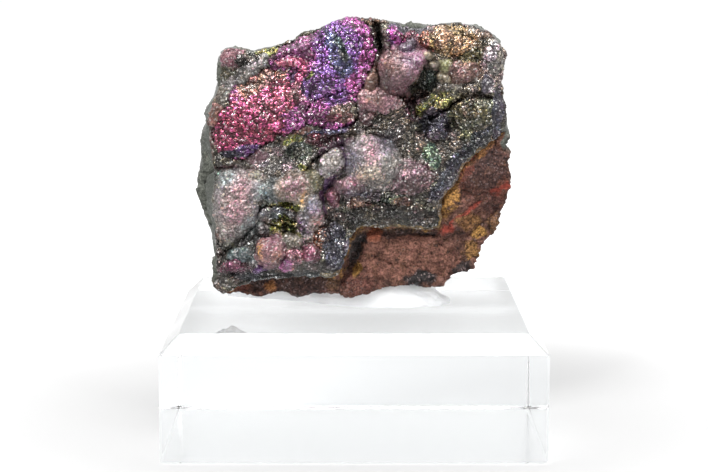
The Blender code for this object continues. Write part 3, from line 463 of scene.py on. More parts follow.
# The putty: the x of its middle, half its length, the y of its front and back edges at each x,
# the x and width of its peaks, their height and where round the pad they start, how square its ends
# are, where its right end rises, its gap over the block, its waist and where that ends, its dents,
# its lobes (height, closeness, shift, seed), and its grid.
PUTTY_MIDDLE = -3.4
PUTTY_HALF_LENGTH = 18.6
PUTTY_EDGES = (
    (-21.5, 6, 11), (-17, 4.5, 10.8), (-12.8, 3.4, 10.2), (-8.8, 1.2, 9.6), (-3.9, -2.2, 9.2),
    (2.6, -4.8, 8.9), (7.5, -5.6, 8.9), (12.3, -5.2, 8.9), (15.5, -4, 8.4),
)
PUTTY_PEAKS = ((-18.5, 0.9), (-13.2, 1.1), (-8.9, 0.8), (-5.0, 1.6))
PEAK_HEIGHT = 2.0
PEAKS_START = (-0.2, 0.6)
PUTTY_SQUARENESS = 0.45
PUTTY_CLIMB = (-6.0, 4.0)
PUTTY_GAP = 0.02
PUTTY_WAIST = 0.05
WAIST_END = 0.25
DENT_DEPTH = 0.12
DENT_SIZE = 1.6
DENTS_START = (0.02, 0.2)
PUTTY_LOBES = ((0.05, 2.2, 5.0, 61), (0.02, 9.0, 0.0, 62))
PUTTY_COLUMNS = 200
PUTTY_ROWS = 50
ROW_POWER = 0.8
LAST_ROW = 0.98

# The block's broken lower edge, how far off an edge a support row lies, how far the flat faces are
# carried in before one flat face closes them, how much tighter the corners are on top, and the
# points of a corner and of an edge's arc.
EDGE_BREAK = 0.3
SUPPORT = 0.08
FLAT_REACH = 3.0
TOP_TIGHTER = 0.5
CORNER_POINTS = 25
ARC_POINTS = 6

# The film's order sets its colour: a thicker film gives a later colour. Each name has its place
# on the scale from 0 to 1 and its colour.
FILM = {
    "silver": (0.02, "#8E8B88"),
    "straw": (0.14, "#B3A384"),
    "gold": (0.23, "#D6A95A"),
    "copper": (0.32, "#C07058"),
    "crimson": (0.41, "#BA4A72"),
    "magenta": (0.5, "#B2509A"),
    "violet": (0.58, "#8858A2"),
    "blue": (0.66, "#6C6EA6"),
    "teal": (0.75, "#5E8C92"),
    "green": (0.83, "#6FA183"),
    "olive": (0.91, "#A3A348"),
    "pink": (1.0, "#DE8CA6"),
}

# How far the film's order may differ from grain to grain, and how much calmer satin ground is.
FILM_SPREAD = 0.05
SATIN_CALM = 0.7

# How a patch fades out over its radius, how its edge blurs on druse and further on satin, how much
# a blush takes on a dull grain and further on a bright one, and the least weight that counts.
PATCH_FADE = (0.70, 1.25)
PATCH_BLUR = (0.20, 0.30)
BLUSH_SHARE = (0.45, 1.0)
BLUSH_LEAST = 0.02

# The film of the crust's ground, of the plate's ground and of the rusty lip.
GROUND_FILM = ("straw", 0.16, 0.0, 0.58)
PLATE_FILM = ("magenta", 0.95, 0.0, 0.8)
LIP_FILM = ("gold", 0.66, 0.9, 0.62)
LIP_COVER = 0.75

# Where the film is faint, how far single grains and whole clusters carry one of their own, which
# grains do, and the film's strength that hides theirs.
FLECK_SHARE = 0.45
FLECK_GRAINS = (0.55, 0.95)
FLECK_FADE = (0.3, 0.9)
TINT_SHARE = 0.30
TINT_FADE = (0.4, 0.9)

# The height, as a share, under which painted shade darkens the gaps between the grains, the clusters
# and the fine grains, how dark that painted shade is between clusters, and between fine grains on satin and
# further on druse.
GRAIN_GAP = (0.15, 0.55)
CLUSTER_GAP = (0.10, 0.40)
FINE_GAP = (0.10, 0.50)
CLUSTER_GAP_SHADE = 0.7
FINE_GAP_SHADE = (0.50, 0.15)

# How far grains, fine grains and clusters differ in lightness, the fine grain that keeps its own,
# and how much lighter the whole front is on druse and further on satin.
GRAIN_LIGHT = 0.6
FINE_LIGHT = 0.7
FINE_MIDDLE = 0.45
CLUSTER_LIGHT = 0.5
FRONT_LIGHT = (0.22, 0.10)

# The film's patches, each laid over those before it: x, z, half width, half height, turn in
# degrees, film, strength of the film's colour, share that is satin and not drusy, and lightness. The
# lightness is mostly the patch's own tone, and in places painted light: lower in some pits and hollows as
# painted shade, and higher on the plate's right edge, which turns away from the lamps.
PLATE_PATCHES = (
    (-14, 55, 20, 20, 0, "magenta", 0.74, 0, 0.95),
    (-17.5, 50.2, 6.5, 5.2, 15, "crimson", 0.84, 0, 1.05),
    (-14.6, 57.4, 4.4, 1.7, 28, "copper", 0.5, 0.1, 1.05),
    (-12.6, 55, 4.8, 2.7, 28, "crimson", 0.74, 0, 1.24),
    (-10.2, 60.5, 3.2, 0.6, -8, "crimson", 0.72, 0.5, 0.96),
    # Darker in the pit: painted shade.
    (-9.4, 58.5, 1, 0.8, 0, "violet", 0.6, 0.3, 0.6),
    (-8.2, 58.6, 0.8, 1.6, 15, "crimson", 0.76, 0.2, 1.05),
    (-8.4, 56.3, 1.8, 1.4, 0, "pink", 0.8, 0, 1),
    (-9.2, 63, 5, 1.4, 18, "magenta", 0.62, 0.15, 0.86),
    (-7.6, 62.2, 3, 1.3, 10, "magenta", 0.6, 0.3, 0.85),
    (-1.9, 61.5, 4.2, 6.2, 15, "violet", 0.9, 0, 1.04),
    (-2.2, 62, 1.5, 4.4, 22, "blue", 0.75, 0, 0.95),
    (-1.8, 63, 0.7, 2.4, 18, "teal", 0.55, 0, 0.75),
    # The next two rows paint the plate's right edge lighter where it turns away from the lamps: painted
    # light.
    (2, 61, 1.2, 3.8, -8, "magenta", 0.76, 0, 1.85),
    (0.6, 57.3, 1.8, 1.8, 0, "magenta", 0.76, 0, 1.75),
    (-5.6, 57.2, 2, 2.4, 0, "violet", 0.78, 0, 0.96),
    (-5.6, 53, 2.4, 1.8, 0, "magenta", 0.75, 0.1, 0.75),
    (-3, 54.6, 2.2, 0.9, 15, "violet", 0.85, 0, 0.85),
    (-1.6, 52.3, 3, 1.7, 10, "copper", 0.32, 0.2, 0.82),
    (0.2, 52.6, 0.9, 0.9, 0, "straw", 0.6, 0, 1.2),
    (-3.5, 51.4, 1.4, 0.8, 0, "crimson", 0.7, 0.2, 0.6),
    (-6.5, 58.6, 0.6, 0.4, 30, "olive", 0.9, 0, 1.1),
    (-16.8, 46.6, 2.8, 0.8, 12, "violet", 0.85, 0.1, 0.46),
    (-19.5, 45.8, 1.8, 0.7, 0, "blue", 0.6, 0.1, 0.36),
)
CRUST_PATCHES = (
    # The sloping edge outside the plate, the corner knob and the left rim.
    (-17.6, 58.6, 6.4, 1.4, 42, "silver", 0.3, 1, 0.8),
    (-21.8, 54.6, 1.4, 3, -20, "straw", 0.18, 0.9, 0.6),
    (-20.3, 59.4, 1.9, 1.6, 0, "olive", 0.2, 0.5, 0.6),
    (-19.4, 61.5, 2.2, 1.8, 0, "pink", 0.5, 0.8, 0.7),
    (-16.8, 61.4, 1.8, 1.1, 15, "silver", 0.2, 0, 0.95),
    (-13.7, 62.6, 1.8, 0.6, 12, "olive", 1, 0, 0.9),
    (-23, 49, 1, 4.5, 0, "copper", 0.16, 0.8, 0.5),
    (-22.6, 52.8, 1.2, 1.8, 0, "copper", 0.45, 0.8, 0.8),
    # Right of the cleft: the purple patch, the gold and silver druse.
    (4.9, 64.6, 0.6, 1.9, 0, "straw", 0.5, 0.3, 0.8),
    (2.6, 67.2, 1.6, 0.7, 0, "copper", 0.4, 0, 0.8),
    (6.9, 64.6, 1.9, 2.3, 10, "violet", 0.9, 0, 1),
    (6.6, 65, 1.4, 1.2, 0, "magenta", 0.95, 0, 1.15),
    (9.4, 66, 3.4, 1, -4, "blue", 0.14, 0.9, 0.36),
    (9.6, 64.7, 2.6, 0.6, -8, "crimson", 0.6, 0.1, 0.56),
    (18, 62.2, 5.6, 4.2, 0, "straw", 0.5, 0, 1.12),
    (13, 64.3, 2.4, 1.6, 0, "copper", 0.7, 0, 0.95),
    (16.2, 64, 3.8, 2.5, -18, "gold", 0.55, 0, 1.42),
    (18.8, 61.2, 1.8, 1.8, 0, "olive", 0.55, 0.1, 0.6),
    (22.5, 59.6, 2.2, 4.2, 0, "silver", 0.22, 0, 3.1),
    (20.9, 57, 1.1, 1.6, 0, "blue", 0.14, 0.6, 0.7),
    # The upper knob and what is round it.
    (7.3, 59.4, 4.1, 4.4, -20, "pink", 0.26, 1, 0.84),
    (9.8, 62.3, 2.2, 2, 0, "pink", 0.5, 0.9, 0.74),
    (8.6, 63.4, 1.7, 1.1, 0, "violet", 0.16, 1, 0.75),
    (11.9, 61.2, 1, 1, 0, "straw", 0.4, 1, 0.8),
    (15, 59.7, 1.8, 1.4, -20, "olive", 0.45, 1, 0.85),
    (12.8, 59.8, 1.3, 0.9, 0, "straw", 0.3, 1, 0.7),
    (14.5, 58, 1.5, 1, 0, "straw", 0.5, 1, 0.9),
    (17.4, 58.9, 2.2, 1.6, 0, "copper", 0.26, 0.7, 0.7),
    (15.7, 56.6, 2.3, 1, 15, "straw", 0.2, 0.9, 0.6),
    # The next two rows darken the deep hollow right of the knob and the pit below it: painted shade.
    (11.2, 57.1, 2.2, 2.3, -25, "green", 0.25, 0.1, 0.75),
    (9.6, 54.8, 2.6, 1.2, 8, "copper", 0.3, 0, 0.65),
    (3.9, 54.4, 3.7, 2.2, 0, "pink", 0.28, 0.8, 1.12),
    (2.6, 51.8, 2.2, 1.4, 0, "pink", 0.3, 0.5, 0.75),
    (3, 58.2, 1, 2.5, 0, "copper", 0.35, 0.8, 0.55),
    # Between the knobs: druse, the olive groove, the ridge and the blue-grey trough.
    (6.6, 51.5, 3.6, 1.8, 0, "straw", 0.25, 0, 0.85),
    (9.6, 53, 1.7, 2.2, 0, "crimson", 0.3, 0, 0.45),
    (11, 52.8, 1.3, 1.2, 0, "olive", 1, 0, 0.85),
    (14, 54.5, 2.8, 1.1, 30, "olive", 0.7, 0, 1.05),
    (17.6, 56, 2.4, 0.7, 15, "straw", 0.5, 0, 1),
    (13, 50.6, 2.6, 2.8, 0, "blue", 0.16, 0.1, 0.58),
    (19.6, 51.4, 4, 3.6, 0, "olive", 0.36, 0.1, 0.62),
    (22.8, 52.5, 1, 4.5, 0, "blue", 0.14, 0.2, 0.65),
    (19.4, 47.8, 4.6, 1.2, 42, "teal", 0.18, 0, 0.5),
    (12.2, 45.2, 1.6, 2.4, 0, "green", 0.66, 0, 1.25),
    (8.6, 42, 4.4, 3.2, 0, "pink", 0.14, 0.3, 0.86),
    (8.6, 47.4, 3.2, 1.7, 0, "straw", 0.25, 0, 0.75),
    (15.4, 42.4, 1.5, 5.2, -32, "blue", 0.14, 0, 0.68),
    # The middle knob, with its pink crest, and its lobes.
    (-4, 49.3, 3.4, 0.7, 8, "blue", 0.6, 0.2, 0.62),
    (-4.6, 48, 3.2, 0.9, 5, "crimson", 0.6, 0.1, 0.42),
    (-2.8, 46.8, 3.4, 0.8, 18, "magenta", 0.45, 0.3, 0.4),
    (3, 44.4, 4.9, 4.8, 0, "silver", 0.16, 1, 1.2),
    (-3.4, 44.1, 2.3, 2.4, 0, "silver", 0.2, 1, 1.52),
    (-1.8, 44.8, 0.5, 1.8, 0, "violet", 0.45, 0.9, 0.72),
    (-3.6, 41.2, 1, 2.2, -38, "violet", 0.45, 0.8, 0.85),
    (-0.5, 40.3, 2.5, 1.8, 0, "pink", 0.17, 0.8, 0.98),
    (-3.1, 38.7, 1.2, 1.2, 0, "crimson", 0.45, 0.6, 0.66),
    (-5.1, 38.4, 0.7, 3.2, 0, "violet", 0.55, 0.6, 0.72),
    # Under the plate.
    (-11.5, 45.2, 5.8, 2.6, 0, "silver", 0.28, 0.1, 1.9),
    (-15.6, 45.6, 1.8, 0.9, 15, "pink", 0.25, 0.8, 0.66),
    (-8.2, 49.8, 1.6, 0.9, 0, "copper", 0.5, 0.3, 0.85),
    (-9.6, 48, 1.8, 1.1, 0, "olive", 0.85, 0.1, 0.85),
    (-8.6, 46.2, 2.2, 1.3, 0, "green", 0.35, 0, 0.8),
    (-8.2, 43.4, 0.8, 0.6, 0, "olive", 1, 0, 1),
    # Darker along the groove under the plate: painted shade.
    (-19, 43.4, 4.2, 0.6, 0, "crimson", 0.55, 0.1, 0.38),
    (-6.4, 41.3, 2, 1.8, 0, "olive", 0.25, 0.9, 0.72),
    # The lower left dome and its neighbours.
    (-18.4, 37.6, 5, 6.6, -6, "silver", 0.38, 1, 1.33),
    (-12.7, 39.8, 2.7, 2.4, 0, "teal", 0.2, 0.9, 0.98),
    (-9.4, 40.2, 2.8, 2.6, 0, "straw", 0.3, 0.9, 0.98),
    (-7, 36, 2.2, 3.6, 0, "silver", 0.3, 0.9, 1.05),
    (-12.4, 37.4, 3.8, 0.8, 0, "olive", 0.95, 0, 0.62),
    (-12.6, 36, 3.4, 0.7, 0, "teal", 0.22, 0.1, 0.95),
    (-11, 33.7, 3.2, 2, 0, "olive", 1, 0, 0.74),
    # Darker in the pit: painted shade.
    (-11.4, 33.3, 0.9, 0.5, 0, "straw", 0.2, 0.2, 0.35),
    # The row of lumps above the lower edge.
    (-17, 31.4, 3.4, 1.6, 40, "silver", 0.2, 0.2, 0.62),
    (-18.4, 29.6, 2.2, 1.4, 0, "teal", 0.3, 0.7, 0.72),
    (-13.6, 30.1, 2.6, 2.8, 0, "pink", 0.36, 0.9, 0.6),
    (-10.2, 31.8, 1.8, 1.2, 0, "straw", 0.22, 0.7, 0.85),
    (-9.6, 29, 1.7, 1.7, 0, "crimson", 0.48, 0.2, 1.42),
    (-10.7, 28.1, 1, 1.2, 0, "magenta", 0.7, 0.2, 1.1),
    (-7, 29.9, 1.4, 2, 0, "crimson", 0.45, 0.3, 0.85),
    (-5.2, 32.8, 1.2, 1.8, -15, "copper", 0.65, 0, 0.7),
    (-19.7, 27.3, 2.4, 1.2, 15, "crimson", 0.55, 0.2, 0.58),
    (-15.9, 27.5, 1, 0.7, 0, "violet", 0.7, 0.2, 0.75),
    (-14.5, 27.2, 0.6, 0.5, 0, "violet", 0.9, 0.2, 0.75),
    (-3, 31, 2.2, 4.2, 10, "blue", 0.1, 0, 0.7),
    (-12, 26.2, 9.5, 0.9, 0, "teal", 0.12, 0.1, 0.3),
    (-21.4, 24.9, 1.7, 1.8, 0, "straw", 0.12, 0.2, 0.52),
    # The ledge over the bare ironstone, and the crusts along its upper side.
    (6.4, 35.6, 9.2, 1.9, 0, "straw", 0.12, 0, 0.36),
    (1.4, 38, 2.2, 1, 10, "copper", 0.55, 0, 0.98),
    (5, 38.4, 2.6, 1, 0, "green", 0.4, 0, 1),
    (7.8, 37.7, 1.8, 0.7, 0, "copper", 0.4, 0, 0.85),
)

# Blushes of the crust, soft tints that fade out from their middle: x, z, half width, half height,
# turn in degrees, film, strength, and how much lighter or darker they are.
CRUST_BLUSHES = (
    (6, 57.4, 2.4, 1.8, 20, "silver", 0.5, 0.85),
    (8, 61, 1.5, 1, 0, "violet", 0.3, 1.1),
    (2.7, 46.2, 1.8, 2.8, 8, "pink", 0.66, 1.06),
    (-0.2, 44.2, 1.5, 2.8, 0, "blue", 0.2, 1.12),
    (1.9, 42.4, 2.2, 1.3, 10, "straw", 0.4, 1.22),
    (0.4, 41.2, 1.6, 0.9, 15, "crimson", 0.22, 1.1),
    (5.8, 45, 1.3, 2.4, 0, "silver", 0.45, 1.05),
    (1.8, 39.3, 3, 0.8, 0, "blue", 0.3, 0.9),
    (-18.2, 39.7, 2.2, 2, 0, "pink", 0.32, 1.06),
    (-19.2, 36.4, 1.8, 2.4, 0, "pink", 0.2, 1),
    (-20.6, 42, 1.8, 1.4, 0, "teal", 0.3, 1.1),
    (-17, 33.6, 1.8, 1.6, 30, "teal", 0.22, 1),
    (-15.6, 42, 2, 1.2, -20, "straw", 0.3, 1.05),
    (-5.9, 35.4, 0.9, 2, 0, "copper", 0.4, 1.05),
    (-7.9, 34.3, 1, 1.5, 0, "violet", 0.3, 1.05),
    (-12.8, 29.6, 0.9, 1.2, 0, "copper", 0.5, 1.05),
    (-14.9, 30.3, 0.55, 1.7, -8, "gold", 0.95, 1.1),
    (-8.4, 38.9, 0.5, 1.6, 0, "gold", 0.9, 1),
    (-13.4, 31, 1, 1, 0, "crimson", 0.4, 0.95),
    (9.4, 60.8, 1, 1.8, -15, "magenta", 0.35, 1.1),
    (5.6, 60.2, 1.6, 1.8, 0, "copper", 0.25, 1.05),
    (7.8, 57, 2.2, 1.2, 15, "crimson", 0.35, 0.7),
    (3.6, 54.6, 1.6, 1, 0, "copper", 0.4, 1.1),
    (5, 47.6, 2, 1.6, 0, "blue", 0.22, 1.05),
    (-15.4, 38.6, 1.5, 2.6, 0, "teal", 0.3, 1),
    (-22, 36, 0.9, 3.6, 0, "silver", 0.4, 1.1),
    (-9.6, 40.6, 1.6, 1.4, 0, "crimson", 0.25, 1.05),
    (-6.6, 37.4, 1, 1.2, 0, "blue", 0.25, 1.15),
)

# Stains of the bare ironstone, each laid over those before it, with near-black also laid as painted shade in
# the recess under the crust and in and under the ledge: x, z, half width, half height, turn in degrees, and
# the shares of ochre, red and near-black.
ROCK_PATCHES = (
    (9, 29, 9, 4.5, 0, 0.05, 0.1, 0.05),
    (20.6, 42.6, 5, 5.6, 0, 0.05, 0.22, 0.45),
    (21.6, 43.4, 3.4, 3.6, 0, 0, 0.16, 0.74),
    (22, 38, 1.8, 1.6, 0, 0, 0.2, 0.5),
    (18.2, 43.2, 0.8, 2, -30, 0, 0.4, 0.2),
    (15.5, 38.3, 1.2, 3.2, -22, 0.85, 0.05, 0),
    (23.8, 40.6, 1, 1.8, 0, 0.1, 0.3, 0.2),
    (20.8, 47.2, 3.2, 0.9, 44, 0.6, 0.2, 0.1),
    (18.2, 45.4, 1.6, 0.8, 40, 0.1, 0.6, 0.2),
    (20.2, 33.2, 1.4, 1, 0, 0.85, 0, 0),
    (18.9, 29.9, 1.2, 2.2, 0, 0.7, 0, 0.1),
    (18.4, 35.2, 2, 1.4, 0, 0.6, 0.1, 0.2),
    (22.8, 34.8, 1.1, 2.2, 0, 0.45, 0.05, 0.35),
    # Dark brown rock, painted darker still as shade in the recess under the crust's lower edge.
    (-11, 24.6, 9.5, 1.8, 0, 0.1, 0.3, 0.84),
    (-13.5, 24.6, 0.8, 0.9, 0, 0.7, 0.3, 0),
    (-18.4, 24.2, 1.8, 0.8, 15, 0.1, 0.5, 0.4),
    (-3.6, 24.6, 1.2, 1.2, 0, 0.35, 0.05, 0.55),
    (0.6, 24.6, 3, 1.8, 0, 0.05, 0.25, 0.35),
    (0.6, 27.3, 0.5, 1.5, -12, 0.9, 0, 0),
    # The next three rows paint near-black in the hollow inside the ledge and along the strip under its lip:
    # painted shade.
    (0.3, 30.4, 1.3, 3.8, -22, 0.1, 0.05, 0.9),
    (1.7, 32.2, 1.2, 1.2, 0, 0, 0.05, 0.95),
    (7.6, 33.1, 6.6, 0.8, 0, 0.05, 0.1, 0.75),
    (3.4, 33, 1.2, 1.2, 0, 0.3, 0.5, 0),
    (10.8, 25.7, 2.7, 1.1, 8, 0, 0, 1),
    (17.7, 27.5, 2, 0.8, 14, 0, 0, 0.9),
)

# How a stain fades out over its radius, how ragged it is, and how much crumbs differ in taking it.
STAIN_FADE = (0.55, 1.35)
STAIN_RAGGED = 0.28
CRUMB_CHOICE = 0.25

# The red streaks: how far they reach, how ragged they are and their share. The ochre along the
# ledge: how far it reaches, where it shows, and its share.
STREAK_FADE = (0.05, 0.50)
STREAK_RAGGED = 0.30
STREAK_SHARE = 0.85
SEEP_FADE = (0.3, 1.1)
SEEP_SHOWS = (-0.5, 0.3)
SEEP_SHARE = 0.85

# Pockets of colour in the rest of the rock: their unevenness, where on it they fade in, and their
# share; and how ragged they are. The bare front's stains fade into them over this depth.
POCKETS = (
    ("ochre pockets", 0.45, 0.95, 0.8),
    ("red pockets", 0.45, 1.1, 0.45),
    ("dark pockets", 0.2, 0.8, 0.8),
)
POCKET_RAGGED = 0.45
STAIN_DEPTH = (0.10, 0.22)

# The grey edge of crust behind the rim: at the left, at the top and at the upper right, each a
# share across or up, and the depth over which it ends.
EDGE_LEFT, EDGE_LEFT_FOOT = 0.08, (0.0, 0.04)
EDGE_TOP = 0.95
EDGE_RIGHT, EDGE_RIGHT_FOOT = 0.98, (0.50, 0.55)
EDGE_DEPTH = (0.18, 0.40)

# The stage, in metres. The floor: its reach, its drop below the block, the ring round the middle
# where its glow rises out of the painted shade under the block, and where and how far it fades into the
# white surroundings.
FLOOR_REACH = 0.7
FLOOR_DROP = 0.0002
SHADE_RING = (0.024, 0.034)
SWEEP = (0.02, 0.17)
SWEEP_GLOW = (0.05, 0.85)

# The surroundings: from where to where they brighten towards the rear and upwards, on a ball of
# radius 1, and the white that mirrors and the eye see.
REAR_RAMP = (-0.5, 0.7)
ZENITH_RAMP = (0.1, 0.9)
SEEN_WHITE = (0.98, 1.02)

# Square softboxes, each with its name, place, side and watts, and the point that they look at.
SOFTBOXES = (
    ("softbox overhead", (0.05, -0.1, 0.65), 0.4, 3.4),
    ("softbox front left", (-0.3, -0.45, 0.5), 0.25, 3.4),
    ("softbox right", (0.55, -0.25, 0.25), 0.22, 0.9),
    ("spark left", (-0.18, -0.4, 0.38), 0.04, 0.5),
    ("spark right", (0.25, -0.35, 0.45), 0.04, 0.4),
)
CARD_PLACE = (0.06, -0.30, 0.03)
CARD_SIDE = 0.25
LIT_POINT = (0.0, 0.0, 0.045)

# The camera: its place, how far it looks down in degrees, and its lens and sensor in millimetres.
CAMERA_PLACE = (0.0, -0.3492, 0.08136)
CAMERA_DOWN = 8.164
LENS = 108.03
SENSOR = 36.0


def scramble(cell, seed):
    """A random whole number for each cell of a lattice, from its three whole numbers."""
    x, y, z = (part * factor for part, factor in zip(cell.T, CELL_FACTORS))
    mixed = x ^ y ^ z ^ (seed * SEED_FACTOR)
    mixed = ((mixed ^ (mixed >> 13)) * LAST_FACTOR) & 0x7FFFFFFF
    return mixed ^ (mixed >> 16)


def lattice(points, seed):
    """Smooth random values from -1 to 1: one value at each whole-number point, blended between."""
    cell = np.floor(points).astype(np.int64)
    part = points - cell
    part = part * part * (3 - 2 * part)
    total = np.zeros(len(points))
    for corner in np.ndindex(2, 2, 2):
        value = (scramble(cell + corner, seed) & 0xFFFF) / HALF_RANGE - 1
        total += value * np.prod(np.where(corner, part, 1 - part), axis=1)
    return total


def fractal(points, size, octaves, seed):
    """Random values with features of the given size, and of half that size at half the height."""
    total = np.zeros(len(points))
    for octave in range(octaves):
        total += lattice(points * (2**octave / size) + OCTAVE_SHIFT * octave, seed + octave) / 2**octave
    return total


def uneven(points, kind):
    """The random unevenness of one kind, at its height."""
    height, size, octaves, seed = UNEVEN[kind]
    return height * fractal(points, size, octaves, seed)


def grains(points, pitch, seed):
    """Round grains packed in space, and a random value from 0 to 1 for each grain.

    Every cell of a cubic lattice holds one ball, off its middle and of its own size. The height at
    a point is the root of (radius squared less distance squared) for the ball that gives the most,
    as a share of the pitch.
    """
    place = points / pitch
    cell = np.floor(place).astype(np.int64)
    best = np.zeros(len(points))
    which = np.zeros(len(points))
    for corner in np.ndindex(3, 3, 3):
        other = cell + corner - 1
        mixed = scramble(other, seed)
        shifts = [((mixed * factor) >> 7 & 0xFFFF) / 0xFFFF for factor in DRAW_FACTORS]
        centre = other + BALL_PLACE[0] + BALL_PLACE[1] * np.stack(shifts[:3], axis=1)
        radius = BALL_RADIUS[0] + BALL_RADIUS[1] * shifts[3]
        inside = radius**2 - ((place - centre) ** 2).sum(axis=1)
        better = inside > best
        best[better] = inside[better]
        which[better] = shifts[4][better]
    return np.sqrt(best), which


def along(run, share):
    """Points at the given shares of the length of a run of points."""
    run = np.array(run)
    length = np.concatenate([[0], np.cumsum(np.linalg.norm(np.diff(run, axis=0), axis=1))])
    return np.stack([np.interp(share * length[-1], length, run[:, i]) for i in (0, 1)], axis=1)


def patch(top, right, foot, left, across, up):
    """A Coons patch: each point blends the four edge runs by its shares across and up."""
    a, u = across[:, None], up[:, None]
    ruled = (1 - u) * along(foot, across) + u * along(top, across)
    sides = (1 - a) * along(left, up) + a * along(right, up)
    corners = (1 - u) * ((1 - a) * np.array(foot[0]) + a * np.array(foot[-1]))
    corners += u * ((1 - a) * np.array(top[0]) + a * np.array(top[-1]))
    return ruled + sides - corners


def carried(flat, depth):
    """Points (x, z) of the front plane, carried along the lines of sight to their depth."""
    reach = (depth - VIEW_POINT[1]) / (CRUST_FRONT - VIEW_POINT[1])
    return VIEW_POINT[[0, 2]] + (flat - VIEW_POINT[[0, 2]]) * reach[:, None]


def upright(flat, depth):
    """Points (x, z) as points (x, y, z), all at one depth or each at its own."""
    return np.column_stack([flat[:, 0], np.broadcast_to(depth, len(flat)), flat[:, 1]])


def distance_to_run(flat, run):
    """Distance from each point (x, z) to the nearest point of a run."""
    run = np.array(run)
    nearest = np.full(len(flat), np.inf)
    for start, end in zip(run[:-1], run[1:]):
        step = end - start
        share = np.clip(((flat - start) @ step) / (step @ step), 0, 1)
        nearest = np.minimum(nearest, np.linalg.norm(flat - start - share[:, None] * step, axis=1))
    return nearest


def depth_inside(flat, outline):
    """Distance to a closed outline, positive inside it and negative outside."""
    loop = np.array(outline + outline[:1])
    crossings = np.zeros(len(flat), int)
    for (x0, z0), (x1, z1) in zip(loop[:-1], loop[1:]):
        spans = (z0 > flat[:, 1]) != (z1 > flat[:, 1])
        if z0 != z1:
            crossings += spans & (flat[:, 0] < x0 + (flat[:, 1] - z0) * (x1 - x0) / (z1 - z0))
    return np.where(crossings % 2 == 1, 1, -1) * distance_to_run(flat, loop)


def radius_squared(flat, x, z, wide, high, turn):
    """Squared distance from an ellipse's middle, 1 on the ellipse itself."""
    c, s = math.cos(math.radians(turn)), math.sin(math.radians(turn))
    dx, dz = flat[:, 0] - x, flat[:, 1] - z
    return ((dx * c + dz * s) / wide) ** 2 + ((dz * c - dx * s) / high) ** 2


def swelling(flat, swells):
    """The sum of soft bell-shaped rises."""
    return sum(rise * np.exp(-radius_squared(flat, *place)) for *place, rise in swells)


def lumps(flat, rows):
    """The highest of a set of round caps, where those that meet run together in a small fillet.

    A cap is its rise times (1 less the squared radius) to a power, and goes on below the ground
    outside its ellipse, so that the fillet also rounds its foot.
    """
    top = np.zeros(len(flat))
    for *place, rise in rows:
        inside = 1 - radius_squared(flat, *place)
        cap = rise * np.sign(inside) * np.abs(inside) ** CAP_ROUNDNESS
        share = np.clip(0.5 + 0.5 * (cap - top) / FILLET, 0, 1)
        top += (cap - top) * share + FILLET * share * (1 - share)
    return top


def grooves(flat, rows):
    """The sum of grooves with a bell-shaped section."""
    return sum(depth * np.exp(-((distance_to_run(flat, run) / half) ** 2)) for half, depth, run in rows)


def smooth_step(value, low, high):
    """0 below low, 1 above high, and a smooth rise between."""
    share = np.clip((value - low) / (high - low), 0, 1)
    return share * share * (3 - 2 * share)


def wavering(flat, kind):
    """Points (x, z) pushed about at random, so that drawn edges run unevenly."""
    size, reach, seed = WAVER[kind]
    spot = np.column_stack([flat, np.zeros(len(flat))])
    push = np.stack([fractal(spot, size, 2, seed), fractal(spot, size, 2, seed + 9)], axis=1)
    return flat + reach * push


def drawn_tight(flat):
    """Where the edge of the plate and the grooves are drawn: nearly even."""
    return wavering(flat, "edges")


def drawn_loose(flat):
    """Where the lumps, pits and patches are drawn: pushed about more, over longer stretches."""
    return wavering(drawn_tight(flat), "lumps")


def crust_relief(flat):
    """Height of the crust over its front plane: swells, lumps, pits, grooves and the plate."""
    tight, loose = drawn_tight(flat), drawn_loose(flat)
    height = swelling(flat, CRUST_SWELLS) + lumps(loose, CRUST_LUMPS)
    height -= lumps(loose, CRUST_PITS) + grooves(tight, CRUST_GROOVES)
    inside = depth_inside(tight, PLATE_OUTLINE)
    height += PLATE_RISE * smooth_step(inside, *PLATE_EDGE)
    height -= CRACK_DEPTH * np.exp(-((inside / CRACK_HALF_WIDTH) ** 2))
    return height + uneven(upright(flat, 0), "crust ground")


def ironstone_relief(flat):
    """Height of the bare ironstone over its own front plane."""
    drawn = wavering(flat, "rock")
    height = swelling(flat, IRONSTONE_SWELLS) + lumps(drawn, IRONSTONE_LUMPS)
    height -= grooves(drawn, IRONSTONE_GROOVES)
    return height + uneven(upright(flat, 1), "rock ground")


def outward(across, deep, up):
    """A direction out of the rounded cube, close to each face's own direction."""
    direction = (np.stack([across, deep, up], axis=1) * 2 - 1) ** 5
    return direction / np.maximum(np.linalg.norm(direction, axis=1), 1e-9)[:, None]


def held_in(points, inset):
    """Points drawn in so that, seen from the view point, each stays the inset inside the girth."""
    reach = (CRUST_FRONT - VIEW_POINT[1]) / (points[:, 1] - VIEW_POINT[1])
    seen = VIEW_POINT[[0, 2]] + (points[:, [0, 2]] - VIEW_POINT[[0, 2]]) * reach[:, None]
    past = np.clip(inset - depth_inside(seen, GIRTH), 0, None)
    inward = STONE_MIDDLE[[0, 2]] - seen
    seen += inward * (past / np.linalg.norm(inward, axis=1))[:, None]
    return upright(carried(seen, points[:, 1]), points[:, 1])


